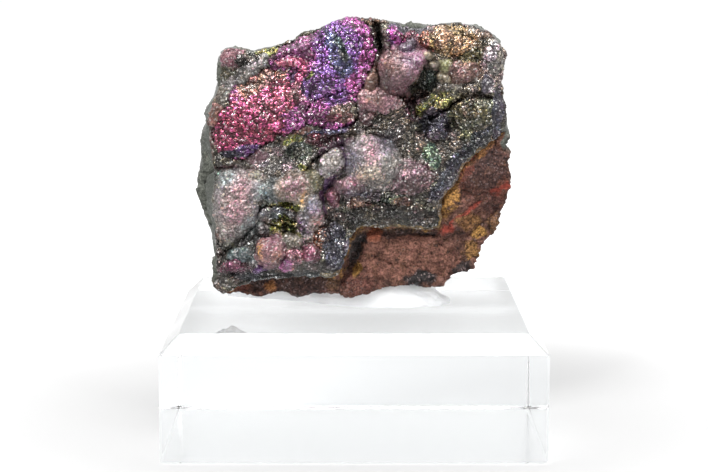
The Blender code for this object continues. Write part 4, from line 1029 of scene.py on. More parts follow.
def crust_form(across, deep, up):
    """The crust: a slab between its relief and its buried back, with its walls flared to the girth.

    The shares across and up give a place in the Coons patch of the rim, and the share deep runs
    from the front, with its relief, to the buried edge.
    """
    rim = patch(RIM_TOP, LEDGE_RIGHT, LEDGE_FOOT, RIM_LEFT, across, up)
    girth = patch(GIRTH_TOP, GIRTH_RIGHT, GIRTH_FOOT, GIRTH_LEFT, across, up)
    # The ledge leans back under itself, and the other walls run out to the girth.
    right_ledge = smooth_step(across, *UNDERCUT_RIGHT) * (1 - smooth_step(up, *UNDERCUT_TOP))
    ledge = np.clip(1 - smooth_step(up, *UNDERCUT_FOOT) + right_ledge, 0, 1)[:, None]
    undercut = CRUST_MIDDLE + (rim - CRUST_MIDDLE) * UNDERCUT
    back = undercut + (girth - undercut) * (1 - ledge)
    flat = rim + (back - rim) * smooth_step(deep, *WALLS_OUT)[:, None]
    # The front rounds over at its rim.
    to_side = (1 - np.abs(2 * across - 1)) * HALF_WIDTH
    to_end = (1 - np.abs(2 * up - 1)) * HALF_HEIGHT
    rounding = RIM_DROP * (1 - smooth_step(np.minimum(to_side, to_end), 0, RIM_REACH))
    front = CRUST_FRONT - crust_relief(rim) + rounding
    buried_edge = CRUST_BACK + uneven(upright(rim, 0), "buried edge")
    depth = front + (buried_edge - front) * deep
    points = upright(carried(flat, depth), depth)
    rough = uneven(points, "crust walls") * smooth_step(deep, *WALLS_ROUGH)
    return held_in(points + outward(across, deep, up) * rough[:, None], CRUST_INSET), rim


def ironstone_form(across, deep, up):
    """The ironstone: from its front, bare or buried under the crust, to its broken back.

    The shares across and up give a place in the Coons patch of the girth, and the share deep runs
    from the front to the back. What lies past a fracture plane is pressed onto it.
    """
    girth = patch(GIRTH_TOP, GIRTH_RIGHT, GIRTH_FOOT, GIRTH_LEFT, across, up)
    middle = STONE_MIDDLE[[0, 2]]
    # The walls start inside the crust, reach the girth and draw in towards the back.
    gained = smooth_step(deep, *GAINING)
    width = FRONT_WIDTH + WIDTH_GAINED * gained - WIDTH_LOST * smooth_step(deep, *LOSING)
    flat = middle + (girth - middle) * width[:, None]
    buried = smooth_step(depth_inside(flat, CRUST_RIM), *BURIAL)
    front = BARE_FRONT - ironstone_relief(flat)
    front += (BURIED_FRONT - front) * buried
    # The bare front keeps the whole outline, because nothing covers its edge.
    bare = (1 - buried) * (1 - gained)
    flat += (girth - flat) * (BARE_WIDTH * bare)[:, None]
    face = flat.copy()
    back = STONE_BACK - lumps(flat, BACK_PITS) + lumps(flat, BACK_LUMPS)
    depth = front + (back - front) * deep
    points = upright(carried(flat, depth), depth)
    for direction, reach in FRACTURES:
        direction = np.array(direction) / np.linalg.norm(direction)
        beyond = (points - STONE_MIDDLE) @ direction - reach
        points -= np.clip(beyond, 0, None)[:, None] * direction * PRESSED_FLAT
    # Soft and hard beds alternate from front to back, and show as shallow steps on the walls.
    sway = BED_SWAY * lattice(points / BED_SWAY_SIZE, SWAY_SEED)
    beds = BED_HEIGHT * np.sin(points[:, 1] * BED_TURN + sway) * smooth_step(deep, *BEDS_START)
    rough = uneven(points, "rock walls") * smooth_step(deep, *ROUGH_START)
    covered = np.where(across < 0.5, smooth_step(up, *COVERED_LEFT), smooth_step(up, *COVERED_RIGHT))
    points = points + outward(across, deep, up) * (rough + beds)[:, None]
    points = held_in(points, ROCK_INSET + COVERED_INSET * covered)
    points[:, 2] = np.maximum(points[:, 2], BLOCK_TOP + LEAST_CLEARANCE)
    return points, face


def squares(grid):
    """The four-sided faces between the points of a grid of indices, each from its first corner on."""
    corners = [grid[:-1, :-1], grid[:-1, 1:], grid[1:, 1:], grid[1:, :-1]]
    return np.stack(corners, axis=2).reshape(-1, 4)


def wrapped_box(across, deep, up, with_back):
    """A box as a grid in front, rings of points round its walls and, if asked for, a grid behind.

    It gives the shares (across, deep, up) of each point, the indices of the two grids, and the
    indices of the rings. A ring runs along the foot, up the right side, back along the top and
    down the left side, and the first ring is the front grid's own edge.
    """
    n, m = len(across), len(up)
    front = np.arange(n * m).reshape(m, n)
    edge = np.concatenate([front[0, :-1], front[:-1, -1], front[-1, :0:-1], front[:0:-1, 0]])
    levels = deep[1:-1] if with_back else deep[1:]
    rings = n * m + np.arange(len(levels) * len(edge)).reshape(len(levels), len(edge))
    back = n * m + rings.size + front
    columns, rows = np.tile(across, m), np.repeat(up, n)
    shares = [np.stack([columns, np.full(n * m, deep[0]), rows])]
    shares.append(np.stack([
        np.tile(columns[edge], len(levels)),
        np.repeat(levels, len(edge)),
        np.tile(rows[edge], len(levels)),
    ]))
    rings = np.vstack([edge, rings])
    if with_back:
        shares.append(np.stack([columns, np.full(n * m, deep[-1]), rows]))
        rings = np.vstack([rings, back.ravel()[edge]])
    return np.concatenate(shares, axis=1), front, rings, back


def ring_faces(rings):
    """The four-sided faces between rings of points that close on themselves."""
    return squares(np.column_stack([rings, rings[:, :1]]))


def wall_faces(rings):
    """The same for the rings of a wrapped box, turned outwards."""
    return ring_faces(rings)[:, ::-1]


def directions(points, faces):
    """Each point's direction out, the sum of the directions of the faces round it."""
    corner = points[faces]
    facing = np.cross(corner[:, 2] - corner[:, 0], corner[:, 3] - corner[:, 1])
    spread = [np.bincount(faces.ravel(), np.repeat(facing[:, i], 4), len(points)) for i in range(3)]
    total = np.stack(spread, axis=1)
    return total / np.maximum(np.linalg.norm(total, axis=1), 1e-12)[:, None]


def linear(code):
    """An sRGB hex colour as linear red, green and blue."""
    parts = [int(code[i:i + 2], 16) / 255 for i in (1, 3, 5)]
    return tuple(c / 12.92 if c <= 0.04045 else ((c + 0.055) / 1.055) ** 2.4 for c in parts)


def film_colour(order):
    """The colour of a film of each order, blended between the named colours."""
    places = [place for place, code in FILM.values()]
    colours = np.array([linear(code) for place, code in FILM.values()])
    return np.stack([np.interp(order, places, colours[:, i]) for i in range(3)], axis=1)


def new_object(name, data):
    """An object in the scene, at the origin, with the data given."""
    made = bpy.data.objects.new(name, data)
    bpy.context.scene.collection.objects.link(made)
    return made


def new_piece(name, points, faces, caps, material, slot, replaced, marks=None):
    """Fills a mesh from points in millimetres and rides it on the body.

    Only the points that the faces use are kept. The caps are flat faces with many corners, and
    the marks are values for each point, one number or a colour.
    """
    used, loops = np.unique(np.concatenate([faces.ravel(), *caps]), return_inverse=True)
    sizes = np.concatenate([np.full(len(faces), 4), [len(cap) for cap in caps]]).astype(np.int32)
    mesh = bpy.data.meshes.new(name)
    mesh.vertices.add(len(used))
    mesh.vertices.foreach_set("co", (points[used] * MM).astype(np.float32).ravel())
    mesh.loops.add(len(loops))
    mesh.loops.foreach_set("vertex_index", loops.astype(np.int32))
    mesh.polygons.add(len(sizes))
    starts = np.concatenate([[0], np.cumsum(sizes)[:-1]]).astype(np.int32)
    mesh.polygons.foreach_set("loop_start", starts)
    mesh.polygons.foreach_set("use_smooth", np.arange(len(sizes)) < len(faces))
    mesh.update(calc_edges=True)
    for mark, values in (marks or {}).items():
        if values.ndim == 1:
            place = mesh.attributes.new(mark, "FLOAT", "POINT")
            place.data.foreach_set("value", values[used].astype(np.float32))
        else:
            place = mesh.attributes.new(mark, "FLOAT_COLOR", "POINT")
            colours = np.column_stack([values[used], np.ones(len(used))])
            place.data.foreach_set("color", colours.astype(np.float32).ravel())
    if mesh.validate():
        raise RuntimeError(f"{name} has faces that don't hold together")
    mesh.materials.append(material)
    piece = new_object(name, mesh)
    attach(piece, BODY)
    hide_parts(replaced)
    return piece


def colour_values(code, strength, satin, light):
    """A plain colour with its strength, satin share and lightness, as one row."""
    return np.concatenate([linear(code), [strength, satin, light]])


def film_values(film, strength, satin, light):
    """The same for a film's colour."""
    return np.concatenate([film_colour(np.array([FILM[film][0]]))[0], [strength, satin, light]])


def laid(values, flat, rows, grain, mask):
    """Lays patches over each other: film colour, strength, satin share and lightness.

    A patch's weight is 1 well inside its ellipse and 0 well outside. On drusy ground a whole grain
    takes the patch or doesn't, and on satin ground the patch fades in.
    """
    for *place, film, strength, satin, light in rows:
        weight = 1 - smooth_step(np.sqrt(radius_squared(flat, *place)), *PATCH_FADE)
        near = np.flatnonzero((weight > 0) & mask)
        chance = 0.5 + (grain[near] - 0.5) * 0.5 * (1 - satin)
        blur = PATCH_BLUR[0] + PATCH_BLUR[1] * satin
        share = smooth_step(weight[near], chance - blur, chance + blur)[:, None]
        order = FILM[film][0] + FILM_SPREAD * (grain[near] - 0.5) * (1 - SATIN_CALM * satin)
        fixed = np.tile([strength, satin, light], (len(near), 1))
        values[near] += (np.column_stack([film_colour(order), fixed]) - values[near]) * share


def blushed(values, flat, rows, speck):
    """Tints the crust, most in the middle of a blush, and some grains more than others."""
    for *place, film, strength, lighter in rows:
        weight = np.exp(-radius_squared(flat, *place))
        near = np.flatnonzero(weight > BLUSH_LEAST)
        share = np.clip(weight[near] * (BLUSH_SHARE[0] + BLUSH_SHARE[1] * speck[near]), 0, 1)[:, None]
        tinted = np.column_stack([
            film_colour(FILM[film][0] + FILM_SPREAD * (speck[near] - 0.5)),
            np.full(len(near), strength),
            values[near, 4],
            values[near, 5] * lighter,
        ])
        values[near] += (tinted - values[near]) * share


def crust_films(rim, grain, speck, on_plate):
    """The films of the crust's front, patch over patch, with blushes off the plate."""
    values = np.tile(film_values(*GROUND_FILM), (len(rim), 1))
    drawn = wavering(drawn_loose(rim), "patches")
    laid(values, drawn, CRUST_PATCHES, grain, ~on_plate)
    blushed(values, drawn, CRUST_BLUSHES, speck)
    values[on_plate] = film_values(*PLATE_FILM)
    laid(values, drawn, PLATE_PATCHES, grain, on_plate)
    return values


def crust_surface(settings):
    """The whole crust: its points, its front grid and rings, and what the finish needs to know.

    The form of the solid is worked out first. Round grains are then raised along each point's own
    direction, coarse and glittering on the drusy ground and fine on the satin lumps.
    """
    deep = np.linspace(0, 1, CRUST_WALL_ROWS) ** WALL_ROW_POWER
    lines = np.linspace(0, 1, CRUST_LINES)
    (across, inward, up), front, rings, _ = wrapped_box(lines, deep, lines, False)
    points, rim = crust_form(across, inward, up)
    facing = directions(points, np.concatenate([squares(front), wall_faces(rings)]))

    # The grains lie in space, so they run over edges without a seam.
    plate_size, grain_size = settings.plate_grain / MM, settings.grain / MM
    fine_size, cluster_size = settings.fine_grain / MM, settings.cluster / MM
    on_plate = depth_inside(drawn_tight(rim), PLATE_OUTLINE) > 0
    plate_height, plate_grain = grains(points, plate_size, PLATE_SEED)
    coarse, grain = grains(points, grain_size, GRAIN_SEED)
    fine, speck = grains(points, fine_size, FINE_SEED)
    cluster, kind = grains(points, cluster_size, CLUSTER_SEED)
    coarse, grain = np.where(on_plate, plate_height, coarse), np.where(on_plate, plate_grain, grain)
    width = np.where(on_plate, plate_size, grain_size)
    values = crust_films(rim, grain, speck, on_plate)

    # Rust creeps over the lip of the ledge.
    on_lip = (up < LIP_WIDTH) * (across > LIP_START) + (across > 1 - LIP_WIDTH) * (up < LIP_END)
    lip = np.clip(on_lip * (LIP_COVER + uneven(points, "rusty lip")), 0, 1)
    values += (film_values(*LIP_FILM) - values) * lip[:, None]

    # The walls behind the rim are broken across their fibres: grey-green, matt and striped.
    start = WALL_START + PLATE_DEPTH * on_plate
    wall = smooth_step(inward, start, start + WALL_BLEND)
    under = np.clip((up == 0) + (across == 1) * (up < LEDGE_TOP), 0, 1)[:, None]
    grey, brown, rusty = (colour_values(*row) for row in (WALL_GREY, WALL_BROWN, WALL_RUSTY))
    behind = smooth_step(inward + uneven(points, "wall brown"), *WALL_BROWNING)[:, None]
    broken = grey + (brown - grey) * behind
    values += (broken + (rusty - broken) * under - values) * wall[:, None]
    strength, satin, light = values[:, 3], values[:, 4], values[:, 5]
    face = 1 - wall
    druse = (1 - satin) * face
    # Where the film is faint, single grains still carry a film of their own colour.
    fleck = FLECK_SHARE * smooth_step(speck, *FLECK_GRAINS) * (1 - smooth_step(strength, *FLECK_FADE)) * face
    values[:, :3] += (film_colour(grain) - values[:, :3]) * fleck[:, None]
    # Each cluster leans a little towards a film of its own as well.
    tint = TINT_SHARE * (1 - smooth_step(strength, *TINT_FADE)) * face * (1 - SATIN_CALM * satin)
    values[:, :3] += (film_colour(kind) - values[:, :3]) * (tint * (1 - fleck))[:, None]
    strength = np.maximum(strength, np.maximum(fleck, tint))

    open_druse = druse * ~on_plate
    on_druse, on_bright_plate, on_satin = CLUSTER_RISE
    clustered = cluster * cluster_size * face
    rise = clustered * (on_druse * open_druse + on_bright_plate * on_plate + on_satin * satin)
    rise += coarse * width * GRAIN_RISE * druse
    rise += fine * fine_size * (FINE_RISE[0] * druse + FINE_RISE[1] * satin * face)
    folds = 1 - np.abs(uneven(points, "folds"))
    rise += satin * face * (FOLD_RISE * folds + uneven(points, "soft swells"))
    fibres, knobs = lattice(points / FIBRE_SIZE, FIBRE_SEED), lattice(points / KNOB_SIZE, KNOB_SEED)
    rise += wall * (FIBRE_RISE * fibres + KNOB_RISE * knobs)
    rise *= 1 - LIP_SMOOTHNESS * lip
    points = points + facing * rise[:, None]

    # Painted shade darkens the gaps between the grains, and each grain and each cluster has its own
    # lightness.
    gap = druse * (1 - smooth_step(coarse, *GRAIN_GAP))
    gap = np.maximum(gap, CLUSTER_GAP_SHADE * open_druse * (1 - smooth_step(cluster, *CLUSTER_GAP)))
    fine_gap_shade = face * (FINE_GAP_SHADE[0] + FINE_GAP_SHADE[1] * druse)
    gap = np.maximum(gap, fine_gap_shade * (1 - smooth_step(fine, *FINE_GAP)))
    light = light * (1 + GRAIN_LIGHT * (grain - 0.5) * druse)
    light *= 1 + FINE_LIGHT * (speck - FINE_MIDDLE) * face
    light *= 1 + (CLUSTER_LIGHT * (kind - 0.5) + uneven(points, "crust lightness")) * face
    light *= 1 + (FRONT_LIGHT[0] + FRONT_LIGHT[1] * satin) * face
    marks = {"film": values[:, :3], "strength": strength, "satin": satin, "light": light, "gap": gap}
    return points, front, rings, {**marks, "wall": wall}


def build_crust(settings):
    """The crust in four quarters that meet at its middle, each a closed body.

    A quarter is its part of the front grid and of the walls, two flat faces where it meets its
    neighbours, and a flat face behind, all drawn in to one point in the middle of the back.
    """
    points, front, rings, marks = crust_surface(settings)
    middle = (len(front) - 1) // 2
    hidden = len(points)
    heart = np.array([CRUST_MIDDLE[0], CRUST_BACK, CRUST_MIDDLE[1]])
    points = np.vstack([points, heart])
    marks = {name: np.concatenate([values, values[-1:]]) for name, values in marks.items()}
    # The lines of the front grid from the middle of each side in to the centre.
    arms = (
        front[:middle + 1, middle],
        front[middle, :middle - 1:-1],
        front[:middle - 1:-1, middle],
        front[middle, :middle + 1],
    )
    # The names run the way the rings do, each with its part of the front grid.
    low, high = slice(0, middle + 1), slice(middle, None)
    quarters = (
        ("crust_lower_right", low, high),
        ("crust_upper_right", high, high),
        ("crust_upper_left", high, low),
        ("crust_lower_left", low, low),
    )
    material = crust_material(settings)
    count = rings.shape[1]
    step = count // 4
    for turn, (name, rows, columns) in enumerate(quarters):
        places = (middle + np.arange(turn * step, (turn + 1) * step + 1)) % count
        walls = rings[:, places]
        inward, outward_arm = arms[turn], arms[(turn + 1) % 4][::-1]
        caps = [
            np.concatenate([walls[:0:-1, 0], inward, [hidden]]),
            np.concatenate([outward_arm, walls[1:, -1], [hidden]]),
            np.concatenate([walls[-1, ::-1], [hidden]]),
        ]
        faces = np.concatenate([squares(front[rows, columns]), squares(walls)[:, ::-1]])
        new_piece(name, points, faces, caps, material, "goethite", "goethite_stone", marks)


def crowded(count, share, low, high):
    """Shares from 0 to 1 with most of the lines between low and high."""
    fine = np.linspace(0, 1, DENSITY_STEPS)
    density = np.where((fine > low) & (fine < high), share / (high - low), (1 - share) / (1 - high + low))
    total = np.concatenate([[0], np.cumsum((density[1:] + density[:-1]) / 2)])
    return np.interp(np.linspace(0, total[-1], count), total, fine)


def rock_stains(face, points, inward, crumb):
    """The shares of ochre, red and near-black: stains of the bare front, with painted shade under the crust
    and the ledge, and pockets elsewhere.
    """
    flat = wavering(face, "stains")
    ragged = uneven(points, "stains")
    stain = np.zeros((len(points), 3))
    for *place, ochre, red, dark in ROCK_PATCHES:
        weight = 1 - smooth_step(np.sqrt(radius_squared(flat, *place)), *STAIN_FADE)
        least = CRUMB_CHOICE * crumb
        weight = smooth_step(weight + STAIN_RAGGED * ragged, least, 1 - CRUMB_CHOICE + least)
        stain += (np.array([ochre, red, dark]) - stain) * weight[:, None]
    to_streak = np.minimum(distance_to_run(flat, RED_STREAK), distance_to_run(flat, SHORT_STREAK))
    streak = STREAK_SHARE * (1 - smooth_step(to_streak + STREAK_RAGGED * ragged, *STREAK_FADE))
    stain += (np.array([0.0, 1.0, 0.0]) - stain) * streak[:, None]
    # Ochre lies along the ledge, where water ran out over the rock.
    beside = 1 - smooth_step(distance_to_run(flat, LEDGE_FOOT + LEDGE_RIGHT[1:-8]), *SEEP_FADE)
    stain[:, 0] += (SEEP_SHARE - stain[:, 0]) * beside * smooth_step(ragged, *SEEP_SHOWS)
    pockets = np.stack([
        share * smooth_step(uneven(points, kind) + POCKET_RAGGED * ragged, low, high)
        for kind, low, high, share in POCKETS], axis=1)
    front_share = 1 - smooth_step(inward, *STAIN_DEPTH)
    return pockets + (stain - pockets) * front_share[:, None]


def crust_edge(points, across, inward, up):
    """The share of grey crust, which makes the edge at the left, the top and the upper right."""
    edge = (across < EDGE_LEFT) * smooth_step(up, *EDGE_LEFT_FOOT) + (up > EDGE_TOP)
    edge = edge + (across > EDGE_RIGHT) * smooth_step(up, *EDGE_RIGHT_FOOT)
    depth = inward + uneven(points, "edge behind")
    return np.clip(edge, 0, 1) * (1 - smooth_step(depth, *EDGE_DEPTH))


def build_ironstone(settings):
    """The ironstone in two closed bodies, its face and its back, that meet at one ring.

    Its front grid is finest at the lower right, where the rock is bare. Earthy lumps and crumbs
    are raised along each point's own direction.
    """
    deep = np.concatenate([np.linspace(0, SPLIT, FACE_ROWS), np.linspace(SPLIT, 1, BACK_ROWS)[1:]])
    columns = crowded(ROCK_COLUMNS, BARE_LINES, *BARE_ACROSS)
    lines = crowded(ROCK_LINES, BARE_LINES, *BARE_UP)
    (across, inward, up), front, rings, back = wrapped_box(columns, deep, lines, True)
    points, face = ironstone_form(across, inward, up)
    front_faces, back_faces = squares(front), squares(back)[:, ::-1]
    facing = directions(points, np.concatenate([front_faces, wall_faces(rings), back_faces]))
    crumb_size = settings.crumb / MM
    crumbs, crumb = grains(points, crumb_size, CRUMB_SEED)
    rise = uneven(points, "rock lumps") + CRUMB_RISE * crumb_size * crumbs
    # Steps where the rock broke: the height climbs slowly and drops at once.
    slant = points @ STEP_SLANT + uneven(points, "rock steps")
    rise += STEP_RISE * (slant - np.floor(slant))
    to_foot = BLOCK_TOP + LEAST_CLEARANCE + FOOT_HEIGHT - points[:, 2]
    rise *= 1 - FOOT_SMOOTHNESS * smooth_step(to_foot, 0, FOOT_HEIGHT)
    points = points + facing * rise[:, None]

    stain = rock_stains(face, points, inward, crumb)
    marks = {
        "edge": crust_edge(points, across, inward, up),
        "ochre": stain[:, 0],
        "red": stain[:, 1],
        "dark": stain[:, 2],
        "gap": 1 - smooth_step(crumbs, *CRUMB_GAP),
    }
    meeting = FACE_ROWS - 1
    near = np.concatenate([front_faces, wall_faces(rings[:meeting + 1])])
    far = np.concatenate([wall_faces(rings[meeting:]), back_faces])
    slots = (ironstone_material(settings), "goethite", "goethite_stone", marks)
    for name, part, cap in (
        ("ironstone_face", near, rings[meeting][::-1]),
        ("ironstone_back", far, rings[meeting]),
    ):
        rock = new_piece(name, points, part, [cap], *slots)
        # A polarising filter keeps the dark rock out of the block's polished top.
        rock.visible_glossy = False


def rounded_square(half, radius, steps):
    """Points round squares with round corners, one row for each half side and radius.

    Each corner's arc starts and ends at the flat sides, and a second point just past each end keeps
    the flat sides flat where the shading is smooth.
    """
    angle = np.concatenate([[0], np.linspace(0, math.pi / 2, steps), [math.pi / 2]])
    slip = np.zeros((len(angle), 2))
    slip[0] = (0, -SUPPORT)
    slip[-1] = (-SUPPORT, 0)
    arc = np.stack([np.cos(angle), np.sin(angle)], axis=1)
    half, radius = np.array(half)[:, None, None], np.array(radius)[:, None, None]
    corner = (half - radius) + radius * arc + slip
    x, y = corner[..., 0], corner[..., 1]
    return np.concatenate([np.stack(pair, axis=2) for pair in ((x, y), (-y, x), (-x, -y), (y, -x))], axis=1)


def build_block(settings):
    """The acrylic block: rounded squares stacked along a profile of half side against height.

    The profile runs from the foot over its broken edge, up the side, over the bevel and on to the
    top. Each of its corners is an arc, with a support row a little way off on either side.
    """
    half = BLOCK_SIDE / 2
    bevel, arris = settings.bevel / MM, settings.arris / MM
    profile = np.array([
        (half - FLAT_REACH, 0.0),
        (half - EDGE_BREAK, 0.0),
        (half, EDGE_BREAK),
        (half, BLOCK_TOP - bevel),
        (half - bevel, BLOCK_TOP),
        (half - bevel - FLAT_REACH, BLOCK_TOP),
    ])
    rows = [profile[0]]
    for before, corner, after in zip(profile[:-2], profile[1:-1], profile[2:]):
        back = (before - corner) / np.linalg.norm(before - corner)
        on = (after - corner) / np.linalg.norm(after - corner)
        # The arc is a curve from just before the corner to just after it, pulled to the corner.
        share = np.linspace(0, 1, ARC_POINTS)[:, None]
        rows.append(corner + back * (arris + SUPPORT))
        rows.extend(corner + ((1 - share) ** 2 * back + share**2 * on) * arris)
        rows.append(corner + on * (arris + SUPPORT))
    rows = np.array(rows + [profile[-1]])
    top_share = smooth_step(rows[:, 1], BLOCK_TOP - bevel, BLOCK_TOP)
    radius = CORNER_RADIUS * (1 - TOP_TIGHTER * top_share)
    rings = rounded_square(rows[:, 0], radius, CORNER_POINTS)
    count = rings.shape[1]
    points = np.concatenate([rings, np.repeat(rows[:, 1], count).reshape(len(rows), count, 1)], axis=2)
    index = np.arange(len(rows) * count).reshape(len(rows), count)
    block = new_piece("block_body", points.reshape(-1, 3), ring_faces(index), [index[0][::-1], index[-1]],
                      acrylic_material(settings), "acrylic", "acrylic_block")
    # Clear plastic lets the light through, so the block throws no dark shadow.
    block.visible_shadow = False


def build_putty(settings):
    """The putty: a flat pad with steep sides, a front edge that swings forward on the right, and
    thin peaks on the left where it was pulled up to the stone.

    The two parameters are the angle round the pad and the share of the way from its foot to its
    top. The outline is an oval whose cosine and sine are raised to a power under 1, so its ends are
    blunt, and it draws in towards the top by the root of 1 less the cube of the share.
    """
    turn = np.linspace(0, 2 * math.pi, PUTTY_COLUMNS, endpoint=False)
    climb = np.linspace(0, 1, PUTTY_ROWS) ** ROW_POWER * LAST_ROW
    angle, level = np.tile(turn, len(climb)), np.repeat(climb, len(turn))
    drawn_in = (1 - level**3) ** 0.5
    drawn_in -= PUTTY_WAIST * smooth_step(level, 0, WAIST_END) * (1 - level)
    ball = np.stack([np.cos(angle), np.sin(angle), level], axis=1)
    lobes = 1
    for high, close, shift, seed in PUTTY_LOBES:
        lobes = lobes + high * lattice(ball * close + shift, seed)
    sideways, backward = (
        np.sign(part) * np.abs(part) ** PUTTY_SQUARENESS for part in (np.cos(angle), np.sin(angle)))
    x = PUTTY_MIDDLE + PUTTY_HALF_LENGTH * sideways * drawn_in * lobes
    places, fronts, backs = np.array(PUTTY_EDGES).T
    front, rear = np.interp(x, places, fronts), np.interp(x, places, backs)
    y = (front + rear) / 2 + (rear - front) / 2 * backward * drawn_in * lobes
    left, right = settings.left_height / MM, settings.right_height / MM
    rise = left + (right - left) * smooth_step(x, *PUTTY_CLIMB)
    peaks = sum(PEAK_HEIGHT * np.exp(-(((x - place) / wide) ** 2)) for place, wide in PUTTY_PEAKS)
    rise += peaks * smooth_step(-backward, *PEAKS_START)
    points = np.stack([x, y, BLOCK_TOP + PUTTY_GAP + rise * level], axis=1)
    points[:, 1] += DENT_DEPTH * lattice(points / DENT_SIZE, DENT_SEED) * smooth_step(level, *DENTS_START)
    index = np.arange(len(angle)).reshape(len(climb), len(turn))
    pad = new_piece("putty_pad", points, ring_faces(index), [index[0][::-1], index[-1]],
                    putty_material(settings), "putty", "mounting_putty")
    # The same filter keeps it from showing twice, in the block's polished top.
    pad.visible_glossy = False


def fill(tree, node, inputs):
    """Sets a node's inputs, or links them to a socket or to the first output in use of a node."""
    for socket, source in inputs.items():
        if isinstance(source, bpy.types.Node):
            source = next(output for output in source.outputs if output.enabled)
        if isinstance(source, bpy.types.NodeSocket):
            tree.links.new(source, node.inputs[socket])
        else:
            node.inputs[socket].default_value = source


def add_node(tree, kind, inputs=None, **settings):
    """Adds a shader node with its settings and its inputs."""
    node = tree.nodes.new("ShaderNode" + kind)
    for name, value in settings.items():
        setattr(node, name, value)
    fill(tree, node, inputs or {})
    return node


def new_material(name):
    """A material with nodes, its shader, and the object's own coordinates in millimetres."""
    material = bpy.data.materials.new(name)
    material.use_nodes = True
    tree = material.node_tree
    place = add_node(tree, "TexCoord").outputs["Object"]
    scaled = add_node(tree, "Mapping", {"Vector": place, "Scale": (PER_METRE,) * 3})
    return material, tree, tree.nodes["Principled BSDF"], scaled


def read_marks(tree, names):
    """The numbers that a piece's points carry, by name."""
    return {name: add_node(tree, "Attribute", attribute_name=name).outputs["Fac"] for name in names}


def crust_material(settings):
    """Goethite with a thin oxide film, grown as a drusy and in places satin botryoidal crust.

    The film gives the saturated metallic colours, the druse its glitter from tiny crystal faces that tilt
    and carry painted highlights, and the satin lumps a soft sheen over a matt pinkish grey.
    """
    material, tree, shader, place = new_material("goethite crust with oxide film")
    mark = read_marks(tree, ("strength", "satin", "light", "gap", "wall"))
    # On the druse and on the satin lumps: how bright the best and the dull crystal faces are painted, the
    # best as painted highlights, how many carry a painted glint and how far they tilt, then the roughness
    # and the share of metal.
    ranges = {
        "best": (settings.painted_sparkle, 0.5),
        "dull": (0.70, 0.85),
        "painted_glint_share": (1.0, 0.40),
        "tilt": (settings.glitter, 0.22 * settings.glitter),
        "rough": (0.22, 0.48),
        "metal": (0.80, 0.35),
    }
    sheen = {name: add_node(tree, "MapRange", {"Value": mark["satin"], "To Min": druse, "To Max": lump})
             for name, (druse, lump) in ranges.items()}
    # Mottling about 0.7 mm across, and fine dust of 0.12 mm.
    mottle = add_node(tree, "TexNoise", {"Vector": place, "Scale": 1 / 0.7, "Detail": 3.0})
    dust = add_node(tree, "TexNoise", {"Vector": place, "Scale": 1 / 0.12, "Detail": 1.0})
    ground = add_node(tree, "Mix", {
        "Factor": mottle, "A": (*settings.dark, 1), "B": (*settings.grey, 1)}, data_type="RGBA")
    film = add_node(tree, "Attribute", attribute_name="film")
    film = add_node(tree, "Mix", {"Factor": mark["strength"], "A": ground, "B": film}, data_type="RGBA")
    # Light and dark: the patch's own lightness, in places painted light, the painted shade between the
    # grains, and the dust.
    open_share = add_node(tree, "MapRange", {"Value": mark["gap"], "To Min": 1.0, "To Max": 0.28})
    shade = add_node(tree, "Math", {0: open_share, 1: mark["light"]}, operation="MULTIPLY")
    speckle = add_node(tree, "MapRange", {
        "Value": dust, "From Min": 0.3, "From Max": 0.7, "To Min": 0.62, "To Max": 1.38})
    shade = add_node(tree, "Math", {0: shade, 1: speckle}, operation="MULTIPLY")
    # Crystal faces 0.26 mm wide: most are painted dull, a few painted bright as highlights, and the
    # brightest painted white as glints.
    facet = add_node(tree, "TexVoronoi", {"Vector": place, "Scale": 1 / 0.26}).outputs["Color"]
    facet_parts = add_node(tree, "SeparateColor", {"Color": facet}).outputs
    rare = add_node(tree, "Math", {0: facet_parts["Red"], 1: 4.0}, operation="POWER")
    painted_facet_gain = add_node(tree, "Math", {0: rare, 1: sheen["best"], 2: sheen["dull"]}, operation="MULTIPLY_ADD")
    shade = add_node(tree, "Math", {0: shade, 1: painted_facet_gain}, operation="MULTIPLY")
    colour = add_node(tree, "VectorMath", {0: film, "Scale": shade}, operation="SCALE")
    painted_glint = add_node(tree, "MapRange", {
        "Value": facet_parts["Green"], "From Min": 0.87, "From Max": 0.95, "To Max": 0.80})
    # Fewer of these painted glints show in the painted shade of the gaps and on the satin lumps, and hardly
    # any on the broken walls.
    unbroken = add_node(tree, "MapRange", {"Value": mark["wall"], "To Min": 1.0, "To Max": 0.25})
    for share in (open_share, sheen["painted_glint_share"], unbroken):
        painted_glint = add_node(tree, "Math", {0: painted_glint, 1: share}, operation="MULTIPLY")
    colour = add_node(tree, "Mix", {
        "Factor": painted_glint, "A": colour, "B": (*settings.painted_glint, 1)}, data_type="RGBA")
    tilt = add_node(tree, "VectorMath", {0: facet, 1: (0.5, 0.5, 0.5)}, operation="SUBTRACT")
    tilt = add_node(tree, "VectorMath", {0: tilt, "Scale": sheen["tilt"]}, operation="SCALE")
    fine = add_node(tree, "Bump", {"Height": dust, "Distance": 0.02 * MM, "Strength": 0.6})
    leaning = add_node(tree, "VectorMath", {0: fine, 1: tilt}, operation="ADD")
    leaning = add_node(tree, "VectorMath", {0: leaning}, operation="NORMALIZE")
    fill(tree, shader, {
        "Base Color": colour, "Roughness": sheen["rough"], "Metallic": sheen["metal"],
        "Normal": leaning, "Coat Weight": 0.30, "Coat Roughness": 0.12})
    return material


